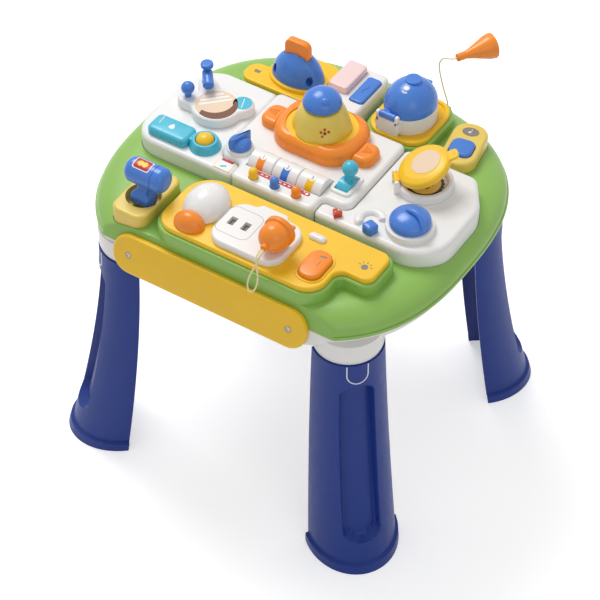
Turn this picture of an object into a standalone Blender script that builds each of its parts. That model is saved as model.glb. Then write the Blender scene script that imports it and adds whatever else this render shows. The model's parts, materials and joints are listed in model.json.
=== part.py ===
"""Musical activity table for a standing toddler.

A domed green deck on a white tray stands on four curved legs.  White, yellow
and green modules on the deck carry keys, knobs, levers, drums and lids.
The origin is on the floor under the middle of the table, +X runs along the
front from left to right, +Y runs to the back and +Z is up.  Lengths are metres.
"""

from math import acos, atan2, ceil, cos, pi, radians, sin, sqrt, tan

import bmesh
import bpy
from mathutils import Matrix, Vector

# Fits and mesh fineness
GAP = 0.0003
RUN = 0.0004
OVERRUN = 0.002
ARC_STEP = radians(45)
BROAD_STEP = radians(30)
BROAD_RADIUS = 0.0195
EDGE_STEPS = 1
SOFT_STEPS = 2
ROUND_STEPS = 16
WIDE_STEPS = 20
BALL_ROWS = 4
SMALL_STEPS = 10
PIN_STEPS = 8
SHARP_ANGLE = radians(35)

# Deck and its rim
RIM_HALF_WIDTH = 0.233
RIM_HALF_DEPTH = 0.2226
RIM_POWER = 2.63
RIM_HEIGHT = 0.360
RIM_POINTS = 32
LIP_HEIGHT = 0.0045
LIP_STEP = 0.0018
DECK_RISE = 0.023
DOME_WIDTH = 0.036
DOME_STEPS = 3
DOME_INNER_STEPS = 2
DECK_WALL = 0.0026
FRONT_DEPTH = 0.1795
FRONT_LEAN = radians(13)
DECK_TOP = RIM_HEIGHT + DECK_RISE

# Tray under the deck
TRAY_INSET = 0.009
TRAY_DEPTH = 0.025
TRAY_ROUND = 0.010
TRAY_ROUND_SHARE = 0.3
TRAY_WALL = 0.0026
TRAY_TOP = RIM_HEIGHT - LIP_HEIGHT - GAP
TRAY_FLOOR = TRAY_TOP - TRAY_DEPTH

# Leg sockets of the tray
LEG_BEARING = atan2(0.1595, 0.1735)
SOCKET_REACH = 0.205
SOCKET_RADIUS = 0.0425
SOCKET_WALL = 0.0028
SOCKET_DROP = 0.018
SOCKET_RISE = 0.015
SOCKET_STEPS = 16
TONGUE_WIDTH = 0.026
TONGUE_DEPTH = 0.0025
TONGUE_LENGTH = 0.043
TONGUE_SETBACK = 0.0048
SOCKET_MOUTH = TRAY_FLOOR - SOCKET_DROP
SOCKET_ROOF = TRAY_FLOOR + SOCKET_RISE

# Legs
LEG_WALL = 0.003
LEG_TOP = SOCKET_ROOF - SOCKET_WALL - GAP
LEG_TOP_RADIUS = SOCKET_RADIUS - SOCKET_WALL - 3 * GAP
FOOT_REACH = 0.2357
FOOT_HALF_WIDTH = 0.0548
FOOT_DEPTH = 0.0665
FOOT_RIM_HEIGHT = 0.0125
FOOT_RIM_FLARE = 0.0035
FOOT_RIM_STEP = 0.001
LEG_SWEEP_POWER = 2.0
GROOVE_BOTTOM = 0.044
GROOVE_TOP = 0.281
GROOVE_END = 0.013
GROOVE_DEPTH = 0.012
LEG_COLUMN_SHARES = (0.0, 0.26, 0.43, 0.82, 1.0)
GROOVE_COLUMN_SHARES = (1.0, 1.0, 0.0, 0.0, 0.0)
GROOVE_ROW_SHARES = (0.0, 0.45, 1.0)
GROOVE_ROW_DEPTH_SHARES = (0.0, 0.8, 1.0)
LEG_MIDDLE_ROWS = 2
SLIT_WIDTH = 0.0018
SLIT_HALF_SPAN = 0.0115
SLIT_HEIGHT = 0.021
SLIT_REACH = 0.045
SLIT_STEPS = 4

# Front fascia
FASCIA_X = -0.0065
FASCIA_LENGTH = 0.268
FASCIA_HEIGHT = 0.052
FASCIA_THICKNESS = 0.0075
FASCIA_EDGE = 0.003
FASCIA_CORNER = 0.0235
FASCIA_TOP = DECK_TOP - 0.008
FASCIA_SCREW_INSET = 0.023
SCREW_RADIUS = 0.0036
SCREW_HEAD = 0.0012
SCREW_SHANK_RADIUS = 0.0016
SCREW_LENGTH = 0.012
SCREW_SLOT = 0.0009
SCREW_FLAT_SHARE = 0.6

# White field: two side panels and the centre block between them
WHITE_FRONT = -0.064
WHITE_BACK = 0.091
CENTRE_LEFT = -0.092
CENTRE_RIGHT = 0.089
BAR_LEFT = -0.060
BAR_RIGHT = 0.054
BAR_STEP = -0.040
PANEL_RISE = 0.022
PANEL_SKIRT = 0.012
PANEL_WALL = 0.0025
PANEL_EDGE = 0.005
PANEL_TOP = DECK_TOP + PANEL_RISE
PANEL_BOTTOM = DECK_TOP - PANEL_SKIRT
LEFT_PANEL_REACH = 0.205
LEFT_PANEL_BACK_REACH = 0.184
LEFT_PANEL_CORNER = 0.034
RIGHT_PANEL_REACH = 0.216
RIGHT_PANEL_BACK_REACH = 0.186
RIGHT_PANEL_CORNER = 0.048
JOINT_CORNER = 0.008
SHOULDER_CORNER = 0.012
BAR_FRONT = -0.0665

# Centre block
BLOCK_RISE = 0.005
BLOCK_EDGE = 0.0035
BLOCK_TOP = PANEL_TOP + BLOCK_RISE
KEY_BED_LEFT = -0.0500
KEY_BED_RIGHT = 0.0095
KEY_BED_BACK = 0.188
KEY_BED_CORNER = 0.010
KEY_BED_THROAT = 0.004

# Number drums
DRUM_RADIUS = 0.0155
DRUM_Y = -0.0265
DRUM_Z = BLOCK_TOP - 0.004
DRUM_LENGTH = 0.0335
DRUM_COUNT = 3
DRUM_EDGE = 0.0012
DRUM_ROW_X = -0.001
DRUM_SIDE_GAP = 0.0005
CRADLE_CLEARANCE = 0.0012
CRADLE_WALL = 0.004
AXLE_RADIUS = 0.0025
AXLE_SEAT = 0.003

# Pegs on the front bar
PEG_RADIUS = 0.0056
PEG_RISE = 0.0135
PEG_STEM = 0.012
PEG_Y = -0.0555
PEG_SPACING = 0.0297
PEG_MIDDLE_X = -0.0035
PEG_COLLAR_RADIUS = 0.0065
PEG_COLLAR = 0.0015

# Selector knob
SELECTOR_X = -0.0745
SELECTOR_Y = -0.0215
SELECTOR_BOSS = 0.0165
SELECTOR_BOSS_RISE = 0.004
SELECTOR_RADIUS = 0.0140
SELECTOR_HEIGHT = 0.0125
FIN_LENGTH = 0.030
FIN_WIDTH = 0.0060
FIN_RISE = 0.0045
FIN_BEARING = radians(70)
STEM_RADIUS = 0.0032
STEM_LENGTH = 0.007

# Joystick
STICK_X = 0.0665
STICK_Y = -0.0075
STICK_FRAME_WIDTH = 0.027
STICK_FRAME_DEPTH = 0.040
STICK_FRAME_RISE = 0.003
STICK_FOOT_WIDTH = 0.0180
STICK_FOOT_RADIUS = 0.0150
STICK_PIVOT_DROP = 0.0085
STICK_WELL_WALL = 0.0022
STICK_FRAME_CORNER = 0.006
STICK_PLAY = 0.0004
STICK_NECK_RADIUS = 0.0042
STICK_LENGTH = 0.030
STICK_BALL_RADIUS = 0.0098
STICK_NECK_DROP = 0.0095
STICK_TILT = radians(-12)
TRUNNION_RADIUS = 0.0022
TRUNNION_LENGTH = 0.002

# Raft, its two side keys, and the capped dome that sits in it
RAFT_X = -0.003
RAFT_Y = 0.0475
RAFT_HALF_WIDTH = 0.056
RAFT_HALF_DEPTH = 0.0435
RAFT_CORNER = 0.034
RAFT_HEIGHT = 0.020
RAFT_EDGE = 0.010
POOL_HALF_WIDTH = 0.0425
POOL_HALF_DEPTH = 0.0380
POOL_DEPTH = 0.0025
RAFT_KEY_REACH = 0.022
RAFT_KEY_WIDTH = 0.036
RAFT_KEY_HEIGHT = 0.012
RAFT_KEY_CORNER = 0.013
RAFT_KEY_Y = 0.0435
RAFT_KEY_EDGE = 0.005
KEY_SKIRT = 0.0045
DOME_BASE_RADIUS = 0.0345
DOME_TOP_RADIUS = 0.0235
DOME_HEIGHT = 0.036
SKIRT_LOBES = 6
SKIRT_SWELL = 0.0018
NECK_RADIUS = 0.0195
NECK_DROP = 0.003
NECK_RISE = 0.002
DOME_POINTS = 24
CAP_RADIUS = 0.0248
CAP_HEIGHT = 0.0185
CAP_WALL = 0.0022
CAP_STEM_RADIUS = 0.006
CAP_STEM_DROP = 0.008
CAP_TRAVEL = 0.0025
NUB_RADIUS = 0.0062
NUB_RISE = 0.0005
NUB_OFFSET = 0.0095

# Living module at the front
LIVING_LEFT = -0.093
LIVING_RIGHT = 0.171
LIVING_FRONT = -0.1765
LIVING_BACK = -0.0755
LIVING_LOBE_FRONT = -0.127
LIVING_NECK_X = 0.1285
LIVING_CORNER = 0.026
LIVING_BACK_CORNER = 0.036
LIVING_LOBE_CORNER = 0.0125
PLINTH_BORDER = 0.0045
PLINTH_RISE = 0.0155
PLATE_THICKNESS = 0.0062
PLATE_EDGE = 0.0022
PLINTH_TOP = DECK_TOP + PLINTH_RISE
PLATE_BOTTOM = PLINTH_TOP + GAP
PLATE_TOP = PLATE_BOTTOM + PLATE_THICKNESS

# Bulb, socket, plug, lamp and key of the living module
BULB_X = -0.0535
BULB_Y = -0.1225
BULB_HALF_WIDTH = 0.0265
BULB_HALF_LENGTH = 0.0325
BULB_HEIGHT = 0.0255
BULB_BASE_Y = -0.1585
BULB_BASE_HALF_WIDTH = 0.0195
BULB_BASE_HALF_LENGTH = 0.0150
BULB_BASE_HEIGHT = 0.0175
SOCKET_X = 0.0235
SOCKET_Y = -0.1345
SOCKET_PANEL_WIDTH = 0.096
SOCKET_PANEL_DEPTH = 0.072
SOCKET_PANEL_HEIGHT = 0.0085
SOCKET_PANEL_CORNER = 0.021
SOCKET_PANEL_EDGE = 0.003
SOCKET_TAB_CORNER = 0.005
SLOT_WIDTH = 0.0085
SLOT_LENGTH = 0.0135
SLOT_DEPTH = 0.0062
SOCKET_TAB_WIDTH = 0.034
SOCKET_TAB_X = 0.0225
SOCKET_TAB_BACK = -0.0915
SLOT_SPACING = 0.0185
SLOT_X = -0.0005
SLOT_Y = -0.1340
PLUG_X = 0.0565
PLUG_REAR_Y = -0.1660
PLUG_LENGTH = 0.036
PLUG_RADIUS = 0.0178
PLUG_FLANGE_RADIUS = 0.0195
PLUG_FLANGE = 0.007
PLUG_TAIL_RADIUS = 0.0042
PLUG_TAIL = 0.005
PRONG_WIDTH = 0.0062
PRONG_THICKNESS = 0.0050
PRONG_LENGTH = 0.0130
CORD_RADIUS = 0.0011
CORD_POINTS = 20
LOOP_ROUTE = ((0.0016, 0.0, 0.0), (0.0012, -0.006, -0.004), (-0.0006, -0.012, -0.014),
              (-0.0060, -0.0165, -0.030), (-0.0075, -0.0200, -0.043), (-0.0020, -0.0235, -0.048),
              (0.0040, -0.0215, -0.042), (0.0050, -0.0175, -0.029), (0.0024, -0.0150, -0.014),
              (-0.0012, -0.0100, -0.004), (-0.0018, 0.0, 0.0))
PILL_X = 0.0835
PILL_Y = -0.0985
PILL_LENGTH = 0.0225
PILL_WIDTH = 0.0105
PILL_HEIGHT = 0.005
LIGHT_KEY_X = 0.1060
LIGHT_KEY_Y = -0.1390
LIGHT_KEY_WIDTH = 0.0285
LIGHT_KEY_DEPTH = 0.0460
LIGHT_KEY_RISE = 0.0075
LIGHT_KEY_CORNER = 0.0125
KEY_TRAVEL = 0.003
KEY_RING = 0.0035
KEY_RING_RISE = 0.0012
KEY_EDGE = 0.0025

# Toggle lever at the front left
TOGGLE_X = -0.1310
TOGGLE_Y = -0.1355
TOGGLE_WIDTH = 0.048
TOGGLE_DEPTH = 0.086
TOGGLE_RISE = 0.0165
TOGGLE_SKIRT = 0.020
TOGGLE_CORNER = 0.014
TOGGLE_EDGE = 0.003
DISH_RADIUS = 0.0205
DISH_DEPTH = 0.0155
DISH_FLARE = 0.0020
LEVER_X = -0.1300
LEVER_Y = -0.1420
LEVER_PIVOT_DROP = 0.0075
LEVER_WIDTH = 0.0260
LEVER_FOOT = 0.0240
LEVER_NECK = 0.0120
LEVER_CORNER = 0.003
LEVER_LENGTH = 0.0385
LEVER_TILT = radians(-8)
BARREL_RADIUS = 0.0158
BARREL_LENGTH = 0.0560
BARREL_EDGE = 0.006
LEVER_PIN_RADIUS = 0.002
LEVER_HUB_RADIUS = 0.007
BARREL_SHIFT = 0.004
DISH_WALL = 0.0024
TOGGLE_WALL = 0.0026

# Left panel: head-shaped plaque with two taps, dispenser bottle
PLAQUE_X = -0.1380
PLAQUE_Y = 0.0230
PLAQUE_RADIUS = 0.0315
PLAQUE_HEIGHT = 0.0125
PLAQUE_EDGE = 0.003
LOBE_RADIUS = 0.0135
PLAQUE_POINTS = 40
BALL_TAP_X = -0.1755
BALL_TAP_Y = 0.0165
FAUCET_X = -0.1705
FAUCET_Y = 0.0510
SIDE_LOBE_X = -0.1125
SIDE_LOBE_Y = 0.0400
SIDE_LOBE_RADIUS = 0.0155
TAP_BALL_RADIUS = 0.0084
TAP_STALK_RADIUS = 0.0042
TAP_LIFT = 0.0125
TAP_STEM = 0.007
FAUCET_CAP_RADIUS = 0.0080
FAUCET_CAP_HEIGHT = 0.0065
FAUCET_NECK_RADIUS = 0.0048
CAP_ROUND = 0.0018
FAUCET_RISE = 0.0230
SPOUT_LENGTH = 0.0240
SPOUT_RADIUS = 0.0070
SPOUT_BEARING = radians(-52)
SPOUT_DROOP = 0.0055
BOTTLE_X = -0.1600
BOTTLE_Y = -0.0400
BOTTLE_LENGTH = 0.0560
BOTTLE_WIDTH = 0.0310
BOTTLE_HEIGHT = 0.0115
BOTTLE_CORNER = 0.0075
BOTTLE_EDGE = 0.004
COLLAR_X = -0.1150
COLLAR_Y = -0.0360
COLLAR_RADIUS = 0.0198
COLLAR_TOP_RADIUS = 0.0150
COLLAR_HEIGHT = 0.0105
BOTTLE_NECK_WIDTH = 0.014
PUMP_RADIUS = 0.0112
PUMP_RISE = 0.0065
PUMP_TRAVEL = 0.003

# Right panel: heart button, tube, corner knob, spinner and covered cup
HEART_X = 0.0815
HEART_Y = -0.0540
HEART_SIZE = 0.0062
HEART_RISE = 0.0070
HEART_POINTS = 16
TUBE_X = 0.1195
TUBE_Y = -0.0400
TUBE_REACH = 0.0145
TUBE_RADIUS = 0.0062
TUBE_SINK = 0.0012
TUBE_START = radians(30)
TUBE_SWEEP = radians(212)
TUBE_STEPS = 9
TUBE_TIP_SHARE = 0.45
TUBE_BLUNT_SHARE = 0.85
CORNER_KNOB_X = 0.1275
CORNER_KNOB_Y = -0.0555
CORNER_KNOB_SIZE = 0.0155
CORNER_KNOB_CORNER = 0.003
CORNER_KNOB_TURN = radians(-20)
CORNER_KNOB_HEIGHT = 0.0115
SPINNER_X = 0.1635
SPINNER_Y = -0.0265
SPINNER_RADIUS = 0.0245
SPINNER_HEIGHT = 0.0155
SPINNER_RING_RADIUS = 0.0290
SPINNER_RING_RISE = 0.0085
SPINNER_RIDGE_WIDTH = 0.0070
SPINNER_SIDE = 0.0035
RIDGE_BEARING = radians(-24)
RIDGE_ROUTE = ((-0.30, -0.0010, 0.90, 0.35), (-0.22, -0.0010, 1.02, 0.85),
               (0.20, 0.0030, 1.12, 1.0), (0.62, 0.0040, 0.98, 1.1),
               (0.88, 0.0020, 0.70, 1.1), (0.97, 0.0, 0.34, 0.8))
CUP_X = 0.1410
CUP_Y = 0.0450
CUP_RADIUS = 0.0340
CUP_BORE = 0.0265
CUP_RISE = 0.0110
CUP_FLOOR = 0.0025
CUP_EDGE = 0.0022
CUP_BEARING = radians(218)
LID_RADIUS = 0.0300
LID_THICKNESS = 0.0100
LID_EDGE = 0.0045
LID_OPEN = radians(24)
LID_REACH = 0.0345
LID_WALL = 0.003
HINGE_RADIUS = 0.0032
HINGE_LENGTH = 0.0170
HINGE_PIN = 0.0016
HINGE_EAR = 0.0030
LID_TAB_LENGTH = 0.0085
LID_TAB_WIDTH = 0.0140
LID_TAB_THICKNESS = 0.0035

# Music plate and key at the back right
MUSIC_X = 0.1395
MUSIC_Y = 0.1425
MUSIC_WIDTH = 0.0440
MUSIC_DEPTH = 0.0780
MUSIC_CORNER = 0.0200
MUSIC_RISE = 0.0150
MUSIC_SKIRT = 0.016
MUSIC_TURN = radians(10)
MUSIC_KEY_WIDTH = 0.0290
MUSIC_KEY_DEPTH = 0.0300
MUSIC_KEY_CORNER = 0.0090
MUSIC_KEY_RISE = 0.0045
MUSIC_KEY_SHIFT = -0.0110

# Toaster module at the back left
TOASTER_X = -0.0915
TOASTER_Y = 0.1330
TOASTER_HALF_WIDTH = 0.0355
TOASTER_HALF_DEPTH = 0.0245
TOASTER_HEIGHT = 0.0430
TOASTER_WALL = 0.0024
TOASTER_RING = 0.0035
TOASTER_RING_RISE = 0.005
TOASTER_LEFT = -0.1570
TOASTER_RIGHT = -0.0530
TOASTER_FRONT = 0.0985
TOASTER_BACK = 0.1780
TOASTER_ARM_BACK = 0.1330
TOASTER_NECK_X = -0.1290
TOASTER_CORNER = 0.015
TOASTER_PLATE_THICKNESS = 0.005
BACK_PLINTH_RISE = 0.0125
TOAST_WIDTH = 0.0340
TOAST_THICKNESS = 0.0105
TOAST_HEIGHT = 0.0330
TOAST_CORNER = 0.0090
TOAST_SHOW = 0.0165
TOAST_PLAY = 0.0006
EYE_RADIUS = 0.0042
EYE_HEIGHT = 0.0155
EYE_SPREAD_SHARE = 0.62
EYE_STRETCH = 1.5
EYE_SPLAY = 0.35
TOAST_EDGE = 0.0015

# Piano keys at the back
PINK_KEY_X = -0.0330
PINK_KEY_Y = 0.1550
PINK_KEY_WIDTH = 0.0265
PINK_KEY_DEPTH = 0.0520
PINK_KEY_RISE = 0.0095
BLUE_KEY_X = -0.0035
BLUE_KEY_Y = 0.1475
BLUE_KEY_WIDTH = 0.0195
BLUE_KEY_DEPTH = 0.0500
BLUE_KEY_RISE = 0.0030
PIANO_CORNER = 0.0045
PIANO_SINK = 0.006

# Cooker at the back right
COOKER_X = 0.0605
COOKER_Y = 0.1475
COOKER_PLATE_HALF_WIDTH = 0.0400
COOKER_PLATE_HALF_DEPTH = 0.0460
COOKER_PLATE_CORNER = 0.026
COOKER_PLATE_THICKNESS = 0.005
COOKER_HALF_WIDTH = 0.0320
COOKER_HALF_DEPTH = 0.0355
COOKER_HEIGHT = 0.0200
COOKER_WALL = 0.0028
COOKER_FLOOR = 0.003
COOKER_LID_HEIGHT = 0.0330
COOKER_LID_WALL = 0.0024
COOKER_VENT_RADIUS = 0.0100
COOKER_VENT_RISE = 0.0022
COOKER_HINGE_X = -0.0090
COOKER_BRACKET_WIDTH = 0.0300
COOKER_BRACKET_DEPTH = 0.0090
COOKER_HINGE_RADIUS = 0.0042
COOKER_HINGE_OUT = 0.0038
COOKER_EAR = 0.0040
COOKER_EAR_RADIUS = 0.0034
COOKER_VENT_SHIFT = 0.004
COOKER_HANDLE_WIDTH = 0.0180
COOKER_HANDLE_DEPTH = 0.0075
COOKER_HANDLE_BAR = 0.0022
COOKER_HANDLE_LIFT = 0.008

# Scoop and its springy tether
TETHER_RADIUS = 0.0009
TETHER_X = 0.0820
TETHER_Y = 0.2015
TETHER_BOSS_RADIUS = 0.0048
TETHER_BOSS_HEIGHT = 0.0115
TETHER_BOSS_Z = 0.3725
TETHER_POINTS = 16
TETHER_ROUTE = ((0.0820, 0.2015, 0.3715), (0.0820, 0.2015, 0.3860), (0.0815, 0.2013, 0.3940),
                (0.0745, 0.1998, 0.4180), (0.0655, 0.2050, 0.4400), (0.0700, 0.2035, 0.4545),
                (0.0785, 0.2012, 0.4605), (0.0848, 0.2050, 0.4600), (0.0870, 0.2090, 0.4600))
SCOOP_MOUTH_RADIUS = 0.0165
SCOOP_LENGTH = 0.0500
SCOOP_AIM = (0.485, 0.875, 0.0)
SCOOP_OUTER = ((0.0, 0.0), (0.0, 0.28), (0.24, 0.30), (0.40, 0.42), (0.84, 0.92), (1.0, 1.0))
SCOOP_INNER = ((0.99, 0.86), (0.84, 0.78), (0.45, 0.28), (0.42, 0.0))

# Works inside the housing
BOARD_WIDTH = 0.120
BOARD_DEPTH = 0.070
BOARD_THICKNESS = 0.0016
BOARD_Y = 0.020
BOARD_LIFT = 0.008
POST_RADIUS = 0.004
POST_INSET = 0.008
SPEAKER_RADIUS = 0.028
SPEAKER_HEIGHT = 0.013
SPEAKER_MAGNET_RADIUS = 0.012
SPEAKER_RIM = 0.003
SPEAKER_X = 0.110
SPEAKER_Y = 0.020
GRILLE_SLOTS = 5
GRILLE_SLOT_WIDTH = 0.003
GRILLE_PITCH = 0.008
GRILLE_LENGTH = 0.036
DOOR_WIDTH = 0.092
DOOR_DEPTH = 0.060
DOOR_THICKNESS = 0.0022
DOOR_X = -0.080
DOOR_Y = 0.020
DOOR_CORNER = 0.004

# Colours, as linear red, green and blue, with a roughness
PALETTE = {
    "green": ((0.235, 0.490, 0.075), 0.38),
    "white": ((0.850, 0.835, 0.800), 0.35),
    "yellow": ((0.900, 0.560, 0.035), 0.35),
    "navy": ((0.018, 0.050, 0.285), 0.40),
    "blue": ((0.035, 0.165, 0.700), 0.30),
    "cyan": ((0.060, 0.480, 0.700), 0.32),
    "orange": ((0.930, 0.240, 0.010), 0.32),
    "red": ((0.580, 0.025, 0.015), 0.32),
    "pink": ((0.870, 0.600, 0.560), 0.35),
    "lemon": ((0.830, 0.680, 0.130), 0.35),
    "cream": ((0.850, 0.720, 0.400), 0.60),
    "steel": ((0.450, 0.450, 0.440), 0.35),
    "board": ((0.030, 0.200, 0.060), 0.55),
    "black": ((0.020, 0.020, 0.022), 0.50),
}
METALS = ("steel",)


def clear_scene():
    """Remove every object, mesh, curve and material of the open file."""
    for item in list(bpy.data.objects):
        bpy.data.objects.remove(item, do_unlink=True)
    for store in (bpy.data.meshes, bpy.data.curves, bpy.data.materials):
        for item in list(store):
            store.remove(item)
    for item in list(bpy.data.collections):
        bpy.data.collections.remove(item)


def new_collection(name):
    group = bpy.data.collections.new(name)
    bpy.context.scene.collection.children.link(group)
    return group


clear_scene()
UPRIGHT = Matrix.Rotation(pi / 2, 4, "X")
PARTS = new_collection("musical_activity_table")
CUTTERS = new_collection("cutters")


def finish(colour):
    """The Principled material of one colour of the palette."""
    found = bpy.data.materials.get(colour)
    if found:
        return found
    rgb, roughness = PALETTE[colour]
    made = bpy.data.materials.new(colour)
    made.use_nodes = True
    shader = made.node_tree.nodes["Principled BSDF"]
    shader.inputs["Base Color"].default_value = (*rgb, 1.0)
    shader.inputs["Roughness"].default_value = roughness
    shader.inputs["Metallic"].default_value = 1.0 if colour in METALS else 0.0
    made.diffuse_color = (*rgb, 1.0)
    return made


def add_object(name, data, colour):
    """Link an object of the model, or a cutter where it has no colour."""
    item = bpy.data.objects.new(name, data)
    if colour:
        PARTS.objects.link(item)
        data.materials.append(finish(colour))
    else:
        CUTTERS.objects.link(item)
        item.hide_render = True
        item.display_type = "WIRE"
    return item


def place(item, x=0.0, y=0.0, z=0.0, turn=0.0):
    item.location = (x, y, z)
    item.rotation_euler = (0.0, 0.0, turn)
    return item


def smooth(item):
    item.data.shade_smooth()
    item.data.set_sharp_from_angle(angle=SHARP_ANGLE)
    return item


def from_bmesh(name, source, colour):
    bmesh.ops.recalc_face_normals(source, faces=source.faces)
    data = bpy.data.meshes.new(name)
    source.to_mesh(data)
    source.free()
    return smooth(add_object(name, data, colour))


def rounded(corners):
    """An outline through corners (x, y, radius), each an arc of its own radius."""
    outline = []
    count = len(corners)
    for index, (x, y, radius) in enumerate(corners):
        corner = Vector((x, y))
        before = (Vector(corners[index - 1][:2]) - corner).normalized()
        after = (Vector(corners[(index + 1) % count][:2]) - corner).normalized()
        inner = acos(max(-1.0, min(1.0, before.dot(after))))
        reach = radius / tan(inner / 2)
        bisector = (before + after).normalized()
        centre = corner + bisector * (radius / sin(inner / 2))
        start = corner + before * reach - centre
        bend = pi - inner
        side = -1.0 if before.cross(after) > 0 else 1.0
        steps = max(2, ceil(bend / (ARC_STEP if radius < BROAD_RADIUS else BROAD_STEP)))
        for step in range(steps + 1):
            spin = Matrix.Rotation(side * bend * step / steps, 2)
            outline.append(tuple(centre + spin @ start))
    return outline


def rectangle(width, depth, radius, x=0.0, y=0.0):
    """A rounded rectangle about a centre."""
    a, b = width / 2, depth / 2
    return rounded([(x - a, y - b, radius), (x + a, y - b, radius),
                    (x + a, y + b, radius), (x - a, y + b, radius)])


def ellipse(half_width, half_depth, steps=ROUND_STEPS, x=0.0, y=0.0):
    angles = [2 * pi * step / steps for step in range(steps)]
    return [(x + half_width * cos(a), y + half_depth * sin(a)) for a in angles]


def grow(outline, distance):
    """The outline moved outwards by a distance, or inwards where it is negative."""
    grown = []
    count = len(outline)
    for index in range(count):
        here = Vector(outline[index])
        before = (here - Vector(outline[index - 1])).normalized()
        after = (Vector(outline[(index + 1) % count]) - here).normalized()
        normal = Vector((before.y + after.y, -before.x - after.x)).normalized()
        spread = normal.dot(Vector((after.y, -after.x)))
        grown.append(tuple(here + normal * distance / spread))
    return grown


def slab(name, outline, height, colour=None, top=0.0, bottom=0.0, wall=0.0, steps=EDGE_STEPS):
    """A flat outline raised from its origin, with rounded rims.

    With a wall it is a shell, open below.
    """
    curve = bpy.data.curves.new(name, "CURVE")
    curve.dimensions = "2D"
    curve.fill_mode = "BOTH"
    curve.extrude = height / 2
    spline = curve.splines.new("POLY")
    spline.points.add(len(outline) - 1)
    for point, (x, y) in zip(spline.points, outline):
        point.co = (x, y, 0.0, 1.0)
    spline.use_cyclic_u = True
    guide = bpy.data.objects.new(name + "_outline", curve)
    CUTTERS.objects.link(guide)
    bpy.context.view_layer.update()
    ready = guide.evaluated_get(bpy.context.evaluated_depsgraph_get())
    flat = bpy.data.meshes.new_from_object(ready)
    work = bmesh.new()
    work.from_mesh(flat)
    bpy.data.objects.remove(guide)
    bpy.data.meshes.remove(flat)
    bpy.data.curves.remove(curve)
    bmesh.ops.remove_doubles(work, verts=work.verts, dist=GAP / 10)
    bmesh.ops.translate(work, verts=work.verts, vec=(0.0, 0.0, height / 2))
    inside = [edge for edge in work.edges
              if all(abs(face.normal.z) > 0.5 for face in edge.link_faces)]
    bmesh.ops.dissolve_edges(work, edges=inside, use_verts=False)
    widest = max(top, bottom)
    if widest > 0:
        weight = work.edges.layers.float.new("bevel_weight_edge")
        for edge in work.edges:
            level = sum(vertex.co.z for vertex in edge.verts) / 2
            if abs(level - height) < height / 4:
                edge[weight] = top / widest
            elif abs(level) < height / 4:
                edge[weight] = bottom / widest
    if wall > 0:
        floor = [face for face in work.faces if face.normal.z < -0.5 or
                 all(vertex.co.z < height / 4 for vertex in face.verts)]
        bmesh.ops.delete(work, geom=floor, context="FACES")
    item = from_bmesh(name, work, colour)
    if widest > 0:
        bevel = item.modifiers.new("Rims", "BEVEL")
        bevel.limit_method = "WEIGHT"
        bevel.width = widest
        bevel.segments = steps
        bevel.use_clamp_overlap = False
    if wall > 0:
        thicken(item, wall)
    return item


def thicken(item, wall):
    """Give an open surface a wall on its inner side."""
    solidify = item.modifiers.new("Wall", "SOLIDIFY")
    solidify.thickness = wall
    solidify.offset = -1.0
    solidify.use_even_offset = True
    return item


def turned(name, profile, colour=None, steps=ROUND_STEPS):
    """A solid of revolution about Z, its profile given from the top down."""
    data = bpy.data.meshes.new(name)
    points = [(radius, 0.0, z) for radius, z in profile]
    data.from_pydata(points, [(i, i + 1) for i in range(len(points) - 1)], [])
    item = add_object(name, data, colour)
    screw = item.modifiers.new("Turn", "SCREW")
    screw.axis = "Z"
    screw.angle = 2 * pi
    screw.steps = steps
    screw.render_steps = steps
    screw.use_merge_vertices = True
    screw.merge_threshold = 0.00001
    screw.use_smooth_shade = True
    return item


def arc(centre_r, centre_z, radius, start, end, steps):
    """Profile points on an arc, its angles measured from +X towards +Z."""
    angles = [start + (end - start) * step / steps for step in range(steps + 1)]
    return [(centre_r + radius * cos(a), centre_z + radius * sin(a)) for a in angles]


def drum(name, radius, length, colour=None, steps=SMALL_STEPS, edge=0.0):
    """A cylinder standing on its origin, with rounded or plain rims."""
    if edge > 0:
        top = arc(radius - edge, length - edge, edge, pi / 2, 0, EDGE_STEPS)
        low = arc(radius - edge, edge, edge, 0, -pi / 2, EDGE_STEPS)
        return turned(name, [(0.0, length)] + top + low + [(0.0, 0.0)], colour, steps)
    work = bmesh.new()
    bmesh.ops.create_cone(work, cap_ends=True, segments=steps, radius1=radius,
                          radius2=radius, depth=length)
    bmesh.ops.translate(work, verts=work.verts, vec=(0.0, 0.0, length / 2))
    return from_bmesh(name, work, colour)


def block(name, width, depth, height, colour=None, edge=0.0):
    """A box standing on its origin, its edges rounded where asked."""
    work = bmesh.new()
    bmesh.ops.create_cube(work, size=1.0)
    bmesh.ops.scale(work, verts=work.verts, vec=(width, depth, height))
    bmesh.ops.translate(work, verts=work.verts, vec=(0.0, 0.0, height / 2))
    item = from_bmesh(name, work, colour)
    if edge > 0:
        bevel = item.modifiers.new("Edges", "BEVEL")
        bevel.width = edge
        bevel.segments = EDGE_STEPS
        bevel.use_clamp_overlap = False
    return item


def half_ball(name, half_width, half_length, height, colour=None, steps=ROUND_STEPS, shell=0.0):
    """The upper half of an ellipsoid, flat below, or a shell with an open foot."""
    rows = BALL_ROWS
    angles = [pi / 2 * (rows - row) / rows for row in range(1, rows + 1)]
    profile = [(0.0, height)] + [(half_width * cos(a), height * sin(a)) for a in angles]
    if shell > 0:
        wide, high = half_width - shell, height - shell
        profile += [(wide * cos(a), high * sin(a)) for a in angles[::-2]] + [(0.0, high)]
    else:
        profile.append((0.0, 0.0))
    item = turned(name, profile, colour, steps)
    item.scale = (1.0, half_length / half_width, 1.0)
    return item


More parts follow.
